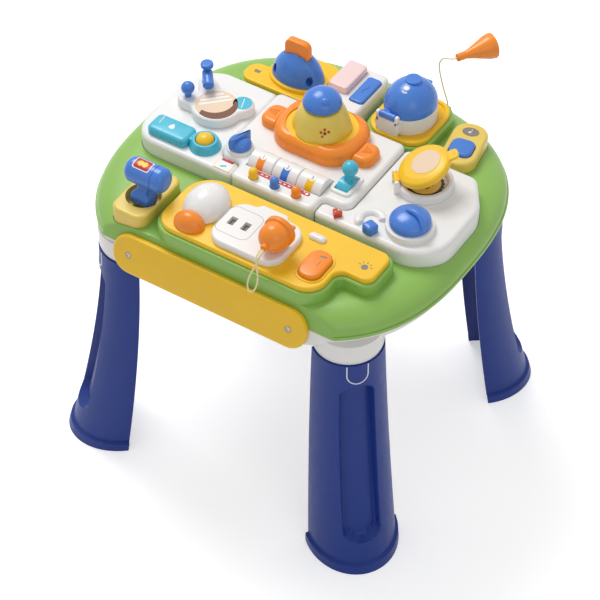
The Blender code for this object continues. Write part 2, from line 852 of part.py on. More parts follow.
def ball(name, half_width, half_length, half_height, colour=None, steps=ROUND_STEPS):
    work = bmesh.new()
    bmesh.ops.create_uvsphere(work, u_segments=steps, v_segments=2 * BALL_ROWS, radius=1.0)
    bmesh.ops.scale(work, verts=work.verts, vec=(half_width, half_length, half_height))
    return from_bmesh(name, work, colour)


def loft(name, rings, colour=None, close_start=True, close_end=True, cyclic=True):
    """A skin through rings of equal count, such as unlike sections of one form."""
    work = bmesh.new()
    rows = [[work.verts.new(point) for point in ring] for ring in rings]
    count = len(rings[0])
    spans = range(count if cyclic else count - 1)
    for low, high in zip(rows, rows[1:]):
        for index in spans:
            after = (index + 1) % count
            work.faces.new((low[index], low[after], high[after], high[index]))
    if close_start:
        work.faces.new(rows[0][::-1])
    if close_end:
        work.faces.new(rows[-1])
    return from_bmesh(name, work, colour)


def combine(target, tool, operation="DIFFERENCE"):
    """Cut, join or trim a target by another solid."""
    step = target.modifiers.new(operation.title(), "BOOLEAN")
    step.operation = operation
    step.solver = "EXACT"
    step.object = tool
    return target


def join(target, tool):
    return combine(target, tool, "UNION")


def lay(item, start, along):
    """Turn a piece made along +Z to lie along another direction from a point."""
    item.location = start
    item.rotation_mode = "QUATERNION"
    item.rotation_quaternion = Vector(along).to_track_quat("Z", "Y")
    return item


def tube(name, points, radius, colour):
    """A round cord through points, its ends capped."""
    curve = bpy.data.curves.new(name, "CURVE")
    curve.dimensions = "3D"
    curve.bevel_depth = radius
    curve.bevel_resolution = 2
    curve.use_fill_caps = True
    spline = curve.splines.new("POLY")
    spline.points.add(len(points) - 1)
    for point, place_of in zip(spline.points, points):
        point.co = (*place_of, 1.0)
    return add_object(name, curve, colour)


def through(points, count):
    """Evenly spaced points on one smooth curve through a route's points."""
    knots = [Vector(point) for point in points]
    knots = [2 * knots[0] - knots[1]] + knots + [2 * knots[-1] - knots[-2]]
    fine = []
    for i in range(1, len(knots) - 2):
        a, b, c, d = knots[i - 1:i + 3]
        for step in range(20):
            t = step / 20
            fine.append(0.5 * (2 * b + (c - a) * t + (2 * a - 5 * b + 4 * c - d) * t * t
                               + (3 * b - a - 3 * c + d) * t * t * t))
    fine.append(knots[-2])
    lengths = [0.0]
    for first, second in zip(fine, fine[1:]):
        lengths.append(lengths[-1] + (second - first).length)
    even, index = [], 0
    for step in range(count):
        target = lengths[-1] * step / (count - 1)
        while index < len(fine) - 2 and lengths[index + 1] < target:
            index += 1
        span = lengths[index + 1] - lengths[index]
        even.append(fine[index].lerp(fine[index + 1], (target - lengths[index]) / span))
    return even


# The deck, the tray and their common outline

def rim_ring(inset, z, front_inset=0.0):
    """One level of the superellipse plan, its front cut along the leaning fascia."""
    front = -(FRONT_DEPTH + (DECK_TOP - z) * tan(FRONT_LEAN)) + front_inset
    power = 2 / RIM_POWER
    ring = []
    for index in range(RIM_POINTS):
        angle = 2 * pi * (index + 0.5) / RIM_POINTS
        across, along = cos(angle), sin(angle)
        x = (RIM_HALF_WIDTH - inset) * abs(across) ** power * (1 if across > 0 else -1)
        y = (RIM_HALF_DEPTH - inset) * abs(along) ** power * (1 if along > 0 else -1)
        ring.append((x, max(y, front), z))
    return ring


def dome_rings(wall, steps):
    """The quarter-elliptic shoulder between the lip and the flat of the deck."""
    rings = []
    width = DOME_WIDTH - LIP_STEP
    rise = DECK_RISE - LIP_STEP / 2
    for step in range(steps + 1):
        angle = pi / 2 * step / steps
        inset = LIP_STEP + width * (1 - cos(angle)) + wall * cos(angle)
        z = RIM_HEIGHT + LIP_STEP / 2 + (rise - wall) * sin(angle)
        rings.append(rim_ring(inset, z, wall))
    return rings


def raise_plinth(deck, outline, rise):
    """Raise a hollow step of the deck's own skin under a plate."""
    outer = slab("plinth_form", grow(outline, PLINTH_BORDER), PANEL_SKIRT + rise, top=PLATE_EDGE)
    inner = slab("plinth_hollow", grow(outline, PLINTH_BORDER - DECK_WALL),
                 PANEL_SKIRT + rise - DECK_WALL + OVERRUN)
    join(deck, place(outer, z=PANEL_BOTTOM))
    combine(deck, place(inner, z=PANEL_BOTTOM - OVERRUN))


def open_deck(deck, outline):
    """Cut the deck where a module drops through it."""
    cutter = slab("deck_cut", grow(outline, GAP), 2 * (PANEL_SKIRT + PANEL_RISE))
    combine(deck, place(cutter, z=PANEL_BOTTOM - PANEL_RISE))


def left_panel_outline():
    joint = SHOULDER_CORNER + GAP
    return rounded([
        (-LEFT_PANEL_REACH, WHITE_FRONT, LEFT_PANEL_CORNER),
        (BAR_LEFT - GAP, WHITE_FRONT, JOINT_CORNER - GAP),
        (BAR_LEFT - GAP, BAR_STEP - GAP, JOINT_CORNER - GAP),
        (CENTRE_LEFT - GAP, BAR_STEP - GAP, joint),
        (CENTRE_LEFT - GAP, WHITE_BACK, JOINT_CORNER),
        (-LEFT_PANEL_BACK_REACH, WHITE_BACK, LEFT_PANEL_CORNER),
        (-LEFT_PANEL_REACH, WHITE_BACK / 2, LEFT_PANEL_CORNER)])


def right_panel_outline():
    joint = SHOULDER_CORNER + GAP
    return rounded([
        (BAR_RIGHT + GAP, WHITE_FRONT, JOINT_CORNER - GAP),
        (RIGHT_PANEL_REACH, WHITE_FRONT, RIGHT_PANEL_CORNER),
        (RIGHT_PANEL_REACH, WHITE_BACK / 2, RIGHT_PANEL_CORNER),
        (RIGHT_PANEL_BACK_REACH, WHITE_BACK, JOINT_CORNER * 2),
        (CENTRE_RIGHT + GAP, WHITE_BACK, JOINT_CORNER),
        (CENTRE_RIGHT + GAP, BAR_STEP - GAP, joint),
        (BAR_RIGHT + GAP, BAR_STEP - GAP, JOINT_CORNER - GAP)])


def centre_outline():
    return rounded([
        (BAR_LEFT, BAR_FRONT, JOINT_CORNER),
        (BAR_RIGHT, BAR_FRONT, JOINT_CORNER),
        (BAR_RIGHT, BAR_STEP, JOINT_CORNER),
        (CENTRE_RIGHT, BAR_STEP, SHOULDER_CORNER),
        (CENTRE_RIGHT, WHITE_BACK, JOINT_CORNER),
        (KEY_BED_RIGHT, WHITE_BACK, KEY_BED_THROAT),
        (KEY_BED_RIGHT, KEY_BED_BACK, KEY_BED_CORNER),
        (KEY_BED_LEFT, KEY_BED_BACK, KEY_BED_CORNER),
        (KEY_BED_LEFT, WHITE_BACK, KEY_BED_THROAT),
        (CENTRE_LEFT, WHITE_BACK, JOINT_CORNER),
        (CENTRE_LEFT, BAR_STEP, SHOULDER_CORNER),
        (BAR_LEFT, BAR_STEP, JOINT_CORNER)])


def living_outline():
    return rounded([
        (LIVING_LEFT, LIVING_FRONT, LIVING_CORNER),
        (LIVING_NECK_X, LIVING_FRONT, LIVING_CORNER),
        (LIVING_NECK_X, LIVING_LOBE_FRONT, LIVING_LOBE_CORNER),
        (LIVING_RIGHT, LIVING_LOBE_FRONT, LIVING_LOBE_CORNER),
        (LIVING_RIGHT, LIVING_BACK, LIVING_LOBE_CORNER),
        (LIVING_LEFT, LIVING_BACK, LIVING_BACK_CORNER)])


def toaster_outline():
    return rounded([
        (TOASTER_LEFT, TOASTER_FRONT, TOASTER_CORNER),
        (TOASTER_RIGHT, TOASTER_FRONT, TOASTER_CORNER),
        (TOASTER_RIGHT, TOASTER_BACK, TOASTER_CORNER),
        (TOASTER_NECK_X, TOASTER_BACK, TOASTER_CORNER),
        (TOASTER_NECK_X, TOASTER_ARM_BACK, TOASTER_CORNER / 2),
        (TOASTER_LEFT, TOASTER_ARM_BACK, TOASTER_CORNER)])


def cooker_outline():
    return rectangle(2 * COOKER_PLATE_HALF_WIDTH, 2 * COOKER_PLATE_HALF_DEPTH,
                     COOKER_PLATE_CORNER, COOKER_X, COOKER_Y)


def toggle_outline():
    return rectangle(TOGGLE_WIDTH, TOGGLE_DEPTH, TOGGLE_CORNER, TOGGLE_X, TOGGLE_Y)


def music_outline():
    spin = Matrix.Rotation(MUSIC_TURN, 2)
    middle = Vector((MUSIC_X, MUSIC_Y))
    flat = rectangle(MUSIC_WIDTH, MUSIC_DEPTH, MUSIC_CORNER)
    return [tuple(spin @ Vector(point) + middle) for point in flat]


def make_deck():
    lip = [rim_ring(DECK_WALL + LIP_STEP, RIM_HEIGHT - LIP_HEIGHT, DECK_WALL),
           rim_ring(0.0, RIM_HEIGHT - LIP_HEIGHT), rim_ring(0.0, RIM_HEIGHT)]
    inner = dome_rings(DECK_WALL, DOME_INNER_STEPS)[::-1]
    deck = loft("top_deck", inner + lip + dome_rings(0.0, DOME_STEPS), "green")
    raise_plinth(deck, living_outline(), PLINTH_RISE)
    raise_plinth(deck, toaster_outline(), BACK_PLINTH_RISE)
    raise_plinth(deck, cooker_outline(), BACK_PLINTH_RISE)
    for outline in (left_panel_outline(), centre_outline(), right_panel_outline(),
                    toggle_outline(), music_outline()):
        open_deck(deck, outline)
    return deck


def make_tray():
    step = TRAY_INSET + LIP_STEP
    outer = [rim_ring(LIP_STEP, TRAY_TOP, GAP), rim_ring(LIP_STEP, TRAY_TOP - TRAY_WALL, GAP),
             rim_ring(TRAY_INSET, TRAY_TOP - TRAY_WALL - GAP, GAP),
             rim_ring(step, TRAY_FLOOR + TRAY_ROUND, GAP),
             rim_ring(step + TRAY_ROUND_SHARE * TRAY_ROUND,
                      TRAY_FLOOR + TRAY_ROUND_SHARE * TRAY_ROUND, GAP),
             rim_ring(step + TRAY_ROUND, TRAY_FLOOR, GAP)]
    inner = [rim_ring(step + TRAY_ROUND, TRAY_FLOOR + TRAY_WALL, TRAY_WALL),
             rim_ring(step + TRAY_WALL, TRAY_FLOOR + TRAY_ROUND, TRAY_WALL),
             rim_ring(TRAY_INSET + TRAY_WALL, TRAY_TOP, TRAY_WALL)]
    tray = loft("base_tray", inner + outer, "white")
    for bearing in leg_bearings():
        x, y = SOCKET_REACH * cos(bearing), SOCKET_REACH * sin(bearing)
        sleeve = drum("socket_form", SOCKET_RADIUS, SOCKET_DROP + SOCKET_RISE, steps=SOCKET_STEPS)
        join(tray, place(sleeve, x, y, SOCKET_MOUTH, bearing))
        bore = drum("socket_bore", SOCKET_RADIUS - SOCKET_WALL,
                    SOCKET_DROP + SOCKET_RISE - SOCKET_WALL + OVERRUN, steps=SOCKET_STEPS)
        combine(tray, place(bore, x, y, SOCKET_MOUTH - OVERRUN, bearing))
        tongue = block("socket_tongue", TONGUE_DEPTH, TONGUE_WIDTH, TONGUE_LENGTH)
        reach = SOCKET_REACH + LEG_TOP_RADIUS - LEG_WALL - TONGUE_SETBACK
        join(tray, place(tongue, reach * cos(bearing), reach * sin(bearing),
                         SOCKET_ROOF - SOCKET_WALL / 2 - TONGUE_LENGTH, bearing))
    for index in range(GRILLE_SLOTS):
        slot = block("grille_slot", GRILLE_LENGTH, GRILLE_SLOT_WIDTH, TRAY_WALL + 2 * OVERRUN)
        shift = (index - (GRILLE_SLOTS - 1) / 2) * GRILLE_PITCH
        combine(tray, place(slot, SPEAKER_X, SPEAKER_Y + shift, TRAY_FLOOR - OVERRUN))
    pad = block("door_pad", DOOR_WIDTH + 4 * TRAY_WALL, DOOR_DEPTH + 4 * TRAY_WALL, 2 * TRAY_WALL)
    join(tray, place(pad, DOOR_X, DOOR_Y, TRAY_FLOOR + TRAY_WALL / 2))
    recess = slab("door_recess", rectangle(DOOR_WIDTH + 2 * GAP, DOOR_DEPTH + 2 * GAP, DOOR_CORNER),
                  DOOR_THICKNESS + OVERRUN + GAP)
    combine(tray, place(recess, DOOR_X, DOOR_Y, TRAY_FLOOR - OVERRUN))
    return tray


def make_works():
    """The loudspeaker and the battery door of the tray."""
    cone = [(0.0, SPEAKER_HEIGHT), (SPEAKER_MAGNET_RADIUS, SPEAKER_HEIGHT),
            (SPEAKER_MAGNET_RADIUS, SPEAKER_HEIGHT / 2), (SPEAKER_RADIUS, SPEAKER_RIM),
            (SPEAKER_RADIUS, 0.0), (0.0, 0.0)]
    place(turned("speaker", cone, "black"), SPEAKER_X, SPEAKER_Y, TRAY_FLOOR + TRAY_WALL + GAP)
    door = slab("battery_door", rectangle(DOOR_WIDTH, DOOR_DEPTH, DOOR_CORNER),
                DOOR_THICKNESS, "white")
    place(door, DOOR_X, DOOR_Y, TRAY_FLOOR)


# Legs

def leg_bearings():
    return [LEG_BEARING, pi - LEG_BEARING, pi + LEG_BEARING, -LEG_BEARING]


def leg_levels():
    """Heights of the leg's rows with how deep the groove is at each."""
    levels = [(-2 * LEG_WALL, 0.0), (FOOT_RIM_HEIGHT - FOOT_RIM_STEP, 0.0), (FOOT_RIM_HEIGHT, 0.0)]
    for share, depth in zip(GROOVE_ROW_SHARES, GROOVE_ROW_DEPTH_SHARES):
        levels.append((GROOVE_BOTTOM + GROOVE_END * share, depth))
    low, high = GROOVE_BOTTOM + GROOVE_END, GROOVE_TOP - GROOVE_END
    for index in range(1, LEG_MIDDLE_ROWS):
        levels.append((low + (high - low) * index / LEG_MIDDLE_ROWS, 1.0))
    for share, depth in zip(GROOVE_ROW_SHARES[::-1], GROOVE_ROW_DEPTH_SHARES[::-1]):
        levels.append((GROOVE_TOP - GROOVE_END * share, depth))
    return levels + [(SOCKET_MOUTH - GAP, 0.0), (LEG_TOP, 0.0)]


def leg_section(z, groove):
    """The open C of a leg at one height, its mouth towards the table's middle."""
    rise = min(1.0, z / (SOCKET_MOUTH - GAP))
    sweep = 1 - (1 - rise) ** LEG_SWEEP_POWER
    reach = FOOT_REACH + (SOCKET_REACH - FOOT_REACH) * sweep
    half = FOOT_HALF_WIDTH + (LEG_TOP_RADIUS - FOOT_HALF_WIDTH) * rise
    deep = FOOT_DEPTH + (LEG_TOP_RADIUS - FOOT_DEPTH) * sweep
    flare = FOOT_RIM_FLARE if z < FOOT_RIM_HEIGHT else 0.0
    shares = [-share for share in LEG_COLUMN_SHARES[:0:-1]] + list(LEG_COLUMN_SHARES)
    depths = list(GROOVE_COLUMN_SHARES[:0:-1]) + list(GROOVE_COLUMN_SHARES)
    section = []
    for share, depth in zip(shares, depths):
        out = sqrt(1 - share * share)
        x = reach + (deep + flare) * out - GROOVE_DEPTH * groove * depth
        section.append((x, (half + flare) * share, z))
    return section


def slit_outline():
    """A narrow U hanging from the socket's mouth, open at the top."""
    bend = [pi * step / SLIT_STEPS for step in range(SLIT_STEPS + 1)]
    drop = SLIT_HEIGHT - SLIT_HALF_SPAN
    outer, inner = SLIT_HALF_SPAN, SLIT_HALF_SPAN - SLIT_WIDTH
    outline = [(-outer, 0.0)] + [(-outer * cos(a), -drop - outer * sin(a)) for a in bend]
    outline += [(outer, 0.0), (inner, 0.0)]
    return outline + [(inner * cos(a), -drop - inner * sin(a)) for a in bend] + [(-inner, 0.0)]


def make_legs():
    rows = [leg_section(z, groove) for z, groove in leg_levels()]
    names = ("leg_back_right", "leg_back_left", "leg_front_left", "leg_front_right")
    lie = Matrix.Rotation(pi / 2, 4, "Z") @ Matrix.Rotation(pi / 2, 4, "X")
    for name, bearing in zip(names, leg_bearings()):
        leg = loft(name, rows, "navy", False, False, cyclic=False)
        leg.rotation_euler = (0.0, 0.0, bearing)
        thicken(leg, LEG_WALL)
        floor = block("floor", 4 * FOOT_REACH, 4 * FOOT_REACH, FOOT_REACH)
        combine(leg, place(floor, z=-FOOT_REACH))
        slit = slab("latch_slit", slit_outline(), SLIT_REACH)
        slit.data.transform(Matrix.Translation((SOCKET_REACH + LEG_WALL, 0.0, SOCKET_MOUTH
                                                - GAP - SLIT_WIDTH)) @ lie)
        slit.rotation_euler = leg.rotation_euler
        combine(leg, slit)


# The front fascia

def make_fascia(tray):
    outline = rectangle(FASCIA_LENGTH, FASCIA_HEIGHT, FASCIA_CORNER)
    fascia = slab("front_fascia", outline, FASCIA_THICKNESS, "yellow", top=FASCIA_EDGE)
    middle = FASCIA_TOP - FASCIA_HEIGHT / 2 * cos(FRONT_LEAN)
    front = -(FRONT_DEPTH + (DECK_TOP - middle) * tan(FRONT_LEAN)) - 2 * GAP
    fascia.location = (FASCIA_X, front, middle)
    fascia.rotation_euler = (pi / 2 - FRONT_LEAN, 0.0, 0.0)
    out = Vector((0.0, -cos(FRONT_LEAN), sin(FRONT_LEAN)))
    profile = [(0.0, SCREW_HEAD), (SCREW_RADIUS * SCREW_FLAT_SHARE, SCREW_HEAD), (SCREW_RADIUS, 0.0),
               (SCREW_SHANK_RADIUS, 0.0), (SCREW_SHANK_RADIUS, -SCREW_LENGTH), (0.0, -SCREW_LENGTH)]
    for name, side in (("fascia_screw_left", -1), ("fascia_screw_right", 1)):
        x = FASCIA_X + side * (FASCIA_LENGTH / 2 - FASCIA_SCREW_INSET)
        seat = Vector((x, front, middle)) + out * FASCIA_THICKNESS
        hole = drum("screw_hole", SCREW_SHANK_RADIUS + GAP, SCREW_LENGTH + OVERRUN, steps=PIN_STEPS)
        hole.location = seat - out * (SCREW_LENGTH + GAP)
        hole.rotation_euler = fascia.rotation_euler
        combine(fascia, hole)
        combine(tray, hole)
        screw = turned(name, profile, "steel", SMALL_STEPS)
        lay(screw, seat + out * GAP, out)
        slot = block("screw_slot", 3 * SCREW_RADIUS, SCREW_SLOT, SCREW_HEAD + OVERRUN)
        combine(screw, lay(slot, seat + out * (GAP + SCREW_HEAD / 2), out))


# The white field

def shell_panel(name, outline, top, edge):
    """A white cover whose skirt drops through the deck."""
    panel = slab(name, outline, top - PANEL_BOTTOM, "white", top=edge, wall=PANEL_WALL)
    return place(panel, z=PANEL_BOTTOM)


def bore(target, x, y, top, radius, depth, steps=SMALL_STEPS):
    """A round hole down from a level."""
    hole = drum("bore", radius, depth + OVERRUN, steps=steps)
    combine(target, place(hole, x, y, top - depth))


def make_centre():
    block_top = BLOCK_TOP
    centre = shell_panel("centre_block", centre_outline(), block_top, BLOCK_EDGE)
    row = DRUM_COUNT * DRUM_LENGTH + (DRUM_COUNT + 1) * DRUM_SIDE_GAP
    hollow = DRUM_RADIUS + CRADLE_CLEARANCE
    bottom = DRUM_Z - hollow - CRADLE_WALL
    cradle = block("cradle_form", row + 2 * CRADLE_WALL, 2 * (hollow + CRADLE_WALL),
                   block_top - PANEL_WALL / 2 - bottom)
    join(centre, place(cradle, DRUM_ROW_X, DRUM_Y, bottom))
    boss = slab("selector_boss", ellipse(SELECTOR_BOSS, SELECTOR_BOSS),
                SELECTOR_BOSS_RISE + PANEL_WALL / 2, top=KEY_EDGE)
    join(centre, place(boss, SELECTOR_X, SELECTOR_Y, block_top - PANEL_WALL / 2))
    well = slab("stick_well", rectangle(STICK_FRAME_WIDTH, STICK_FRAME_DEPTH, STICK_FRAME_CORNER),
                STICK_FRAME_RISE + STICK_PIVOT_DROP + STICK_FOOT_RADIUS + 2 * STICK_WELL_WALL,
                top=STICK_FRAME_RISE / 2)
    pivot = block_top - STICK_PIVOT_DROP
    join(centre, place(well, STICK_X, STICK_Y,
                       pivot - STICK_FOOT_RADIUS - 2 * STICK_WELL_WALL))
    trough = drum("cradle_hollow", hollow, row, steps=ROUND_STEPS)
    combine(centre, lay(trough, (DRUM_ROW_X - row / 2, DRUM_Y, DRUM_Z), (1.0, 0.0, 0.0)))
    seat = row + 2 * AXLE_SEAT
    pin_hole = drum("axle_hole", AXLE_RADIUS + GAP, seat, steps=PIN_STEPS)
    combine(centre, lay(pin_hole, (DRUM_ROW_X - seat / 2, DRUM_Y, DRUM_Z), (1.0, 0.0, 0.0)))
    wide = STICK_FOOT_WIDTH + 2 * STICK_PLAY
    cavity = drum("stick_hollow", STICK_FOOT_RADIUS + STICK_PLAY, wide, steps=ROUND_STEPS)
    combine(centre, lay(cavity, (STICK_X - wide / 2, STICK_Y, pivot), (1.0, 0.0, 0.0)))
    throat = block("stick_throat", wide, 2 * (STICK_FOOT_RADIUS + STICK_PLAY),
                   STICK_PIVOT_DROP + 2 * STICK_FRAME_RISE)
    combine(centre, place(throat, STICK_X, STICK_Y, pivot))
    pins = wide + 2 * TRUNNION_LENGTH
    journal = drum("stick_journal", TRUNNION_RADIUS + GAP, pins, steps=PIN_STEPS)
    combine(centre, lay(journal, (STICK_X - pins / 2, STICK_Y, pivot), (1.0, 0.0, 0.0)))
    through_top = 2 * PANEL_WALL
    for step in (-1, 0, 1):
        bore(centre, PEG_MIDDLE_X + step * PEG_SPACING, PEG_Y, block_top, PEG_RADIUS + RUN,
             through_top)
    bore(centre, SELECTOR_X, SELECTOR_Y, block_top + SELECTOR_BOSS_RISE, STEM_RADIUS + RUN,
         through_top + SELECTOR_BOSS_RISE, PIN_STEPS)
    for outline in (raft_key_outline(-1, RUN), raft_key_outline(1, RUN),
                    piano_outline(PINK_KEY_X, PINK_KEY_Y, PINK_KEY_WIDTH, PINK_KEY_DEPTH, RUN),
                    piano_outline(BLUE_KEY_X, BLUE_KEY_Y, BLUE_KEY_WIDTH, BLUE_KEY_DEPTH, RUN)):
        window = slab("key_window", outline, 2 * through_top)
        combine(centre, place(window, z=block_top - through_top))
    return centre


def make_drums():
    pitch = DRUM_LENGTH + DRUM_SIDE_GAP
    for index in range(DRUM_COUNT):
        start = DRUM_ROW_X + (index - DRUM_COUNT / 2) * pitch + DRUM_SIDE_GAP / 2
        roller = drum("number_drum_" + str(index + 1), DRUM_RADIUS, DRUM_LENGTH, "white",
                      ROUND_STEPS, DRUM_EDGE)
        lay(roller, (start, DRUM_Y, DRUM_Z), (1.0, 0.0, 0.0))
        hole = drum("drum_bore", AXLE_RADIUS + GAP, DRUM_LENGTH + 2 * OVERRUN, steps=PIN_STEPS)
        lay(hole, (start - OVERRUN, DRUM_Y, DRUM_Z), (1.0, 0.0, 0.0))
        combine(roller, hole)
    length = DRUM_COUNT * pitch + DRUM_SIDE_GAP + 2 * (AXLE_SEAT - GAP)
    axle = drum("drum_axle", AXLE_RADIUS, length, "steel", PIN_STEPS)
    lay(axle, (DRUM_ROW_X - length / 2, DRUM_Y, DRUM_Z), (1.0, 0.0, 0.0))


def make_pegs():
    collar_top = -PANEL_WALL - GAP
    profile = [(0.0, PEG_RISE)] + arc(0.0, PEG_RISE - PEG_RADIUS, PEG_RADIUS, pi / 2, 0, 3)[1:]
    profile += [(PEG_RADIUS, collar_top), (PEG_COLLAR_RADIUS, collar_top),
                (PEG_COLLAR_RADIUS, collar_top - PEG_COLLAR), (0.0, collar_top - PEG_COLLAR)]
    for step, colour in ((-1, "yellow"), (0, "blue"), (1, "orange")):
        peg = turned("peg_" + colour, profile, colour, SMALL_STEPS)
        place(peg, PEG_MIDDLE_X + step * PEG_SPACING, PEG_Y, BLOCK_TOP)


def make_selector():
    base = BLOCK_TOP + SELECTOR_BOSS_RISE + GAP
    dome = SELECTOR_HEIGHT - KEY_EDGE
    profile = [(0.0, SELECTOR_HEIGHT)]
    profile += [(SELECTOR_RADIUS * cos(a), KEY_EDGE + dome * sin(a))
                for a in [pi / 2 * (4 - k) / 5 for k in range(5)]]
    profile += [(SELECTOR_RADIUS, 0.0), (STEM_RADIUS, 0.0), (STEM_RADIUS, -STEM_LENGTH),
                (0.0, -STEM_LENGTH)]
    knob = turned("selector_knob", profile, "blue", SMALL_STEPS)
    place(knob, SELECTOR_X, SELECTOR_Y, base)
    fin = slab("selector_fin", ellipse(FIN_LENGTH / 2, FIN_WIDTH / 2, SMALL_STEPS),
               SELECTOR_HEIGHT + FIN_RISE - KEY_EDGE, top=FIN_WIDTH / 4)
    join(knob, place(fin, SELECTOR_X, SELECTOR_Y, base + KEY_EDGE, FIN_BEARING))


def make_joystick():
    pivot = (STICK_X, STICK_Y, BLOCK_TOP - STICK_PIVOT_DROP)
    foot = drum("joystick", STICK_FOOT_RADIUS, STICK_FOOT_WIDTH, "cyan", ROUND_STEPS)
    foot.data.transform(Matrix.Rotation(pi / 2, 4, "Y")
                        @ Matrix.Translation((0.0, 0.0, -STICK_FOOT_WIDTH / 2)))
    foot.location = pivot
    pins = STICK_FOOT_WIDTH + 2 * (STICK_PLAY + TRUNNION_LENGTH - GAP)
    axle = drum("stick_pins", TRUNNION_RADIUS, pins, steps=PIN_STEPS)
    join(foot, lay(axle, (STICK_X - pins / 2, STICK_Y, pivot[2]), (1.0, 0.0, 0.0)))
    ball_z = STICK_LENGTH
    profile = [(0.0, ball_z + STICK_BALL_RADIUS)]
    profile += arc(0.0, ball_z, STICK_BALL_RADIUS, pi / 2, -pi / 4, 6)[1:]
    profile += [(STICK_NECK_RADIUS, ball_z - STICK_NECK_DROP), (STICK_NECK_RADIUS, 0.0), (0.0, 0.0)]
    stem = turned("stick_form", profile, None, SMALL_STEPS)
    stem.location = pivot
    stem.rotation_euler = (STICK_TILT, 0.0, 0.0)
    join(foot, stem)


# Raft, side keys and dome

def raft_outline():
    return rectangle(2 * RAFT_HALF_WIDTH, 2 * RAFT_HALF_DEPTH, RAFT_CORNER, RAFT_X, RAFT_Y)


def raft_key_outline(side, margin=0.0):
    edge = RAFT_X + side * RAFT_HALF_WIDTH
    outline = rectangle(2 * RAFT_KEY_REACH, RAFT_KEY_WIDTH, RAFT_KEY_CORNER, edge, RAFT_KEY_Y)
    return grow(outline, margin) if margin else outline


def make_raft():
    base = BLOCK_TOP + GAP
    raft = slab("raft", raft_outline(), RAFT_HEIGHT, "orange", top=RAFT_EDGE, steps=SOFT_STEPS)
    place(raft, z=base)
    pool = slab("pool", ellipse(POOL_HALF_WIDTH, POOL_HALF_DEPTH, x=RAFT_X, y=RAFT_Y),
                2 * POOL_DEPTH)
    combine(raft, place(pool, z=base + RAFT_HEIGHT - POOL_DEPTH))
    for name, side in (("raft_key_left", -1), ("raft_key_right", 1)):
        key = slab(name, raft_key_outline(side), RAFT_KEY_HEIGHT + KEY_SKIRT, "orange",
                   top=RAFT_KEY_EDGE)
        place(key, z=BLOCK_TOP - KEY_SKIRT)
        hull = slab("raft_hull", grow(raft_outline(), RUN), 2 * (RAFT_HEIGHT + KEY_SKIRT))
        combine(key, place(hull, z=BLOCK_TOP - RAFT_HEIGHT))


def make_dome():
    base = BLOCK_TOP + GAP + RAFT_HEIGHT - POOL_DEPTH + GAP
    levels = [(DOME_BASE_RADIUS, 0.0, 1.0), (DOME_BASE_RADIUS, DOME_HEIGHT * 0.08, 1.0),
              (DOME_BASE_RADIUS * 0.965, DOME_HEIGHT * 0.24, 0.6),
              (DOME_BASE_RADIUS * 0.80, DOME_HEIGHT * 0.72, 0.0),
              (DOME_TOP_RADIUS, DOME_HEIGHT - NECK_DROP, 0.0),
              (NECK_RADIUS, DOME_HEIGHT - NECK_DROP, 0.0),
              (NECK_RADIUS, DOME_HEIGHT + NECK_RISE, 0.0)]
    rings = []
    for radius, z, swell in levels:
        ring = []
        for step in range(DOME_POINTS):
            angle = 2 * pi * step / DOME_POINTS
            reach = radius + SKIRT_SWELL * swell * cos(SKIRT_LOBES * angle)
            ring.append((reach * cos(angle), reach * sin(angle), z))
        rings.append(ring)
    figure = place(loft("dome_figure", rings, "lemon"), RAFT_X, RAFT_Y, base)
    bore(figure, RAFT_X, RAFT_Y, base + DOME_HEIGHT + NECK_RISE, CAP_STEM_RADIUS + RUN,
         NECK_RISE + CAP_STEM_DROP + CAP_TRAVEL + GAP)
    cap = half_ball("dome_cap", CAP_RADIUS, CAP_RADIUS, CAP_HEIGHT, "blue", shell=CAP_WALL)
    cap_z = base + DOME_HEIGHT + GAP
    place(cap, RAFT_X, RAFT_Y, cap_z)
    stem = drum("cap_stem", CAP_STEM_RADIUS, CAP_STEM_DROP + CAP_HEIGHT - CAP_WALL / 2)
    join(cap, place(stem, RAFT_X, RAFT_Y, cap_z - CAP_STEM_DROP))
    nub = half_ball("cap_nub", NUB_RADIUS, NUB_RADIUS, NUB_RADIUS + NUB_RISE, steps=SMALL_STEPS)
    combine(cap, lay(nub, (RAFT_X + NUB_OFFSET, RAFT_Y - NUB_OFFSET, cap_z + CAP_HEIGHT
                           - NUB_RADIUS - CAP_WALL), (0.2, -0.2, 1.0)), "UNION")


# Living module

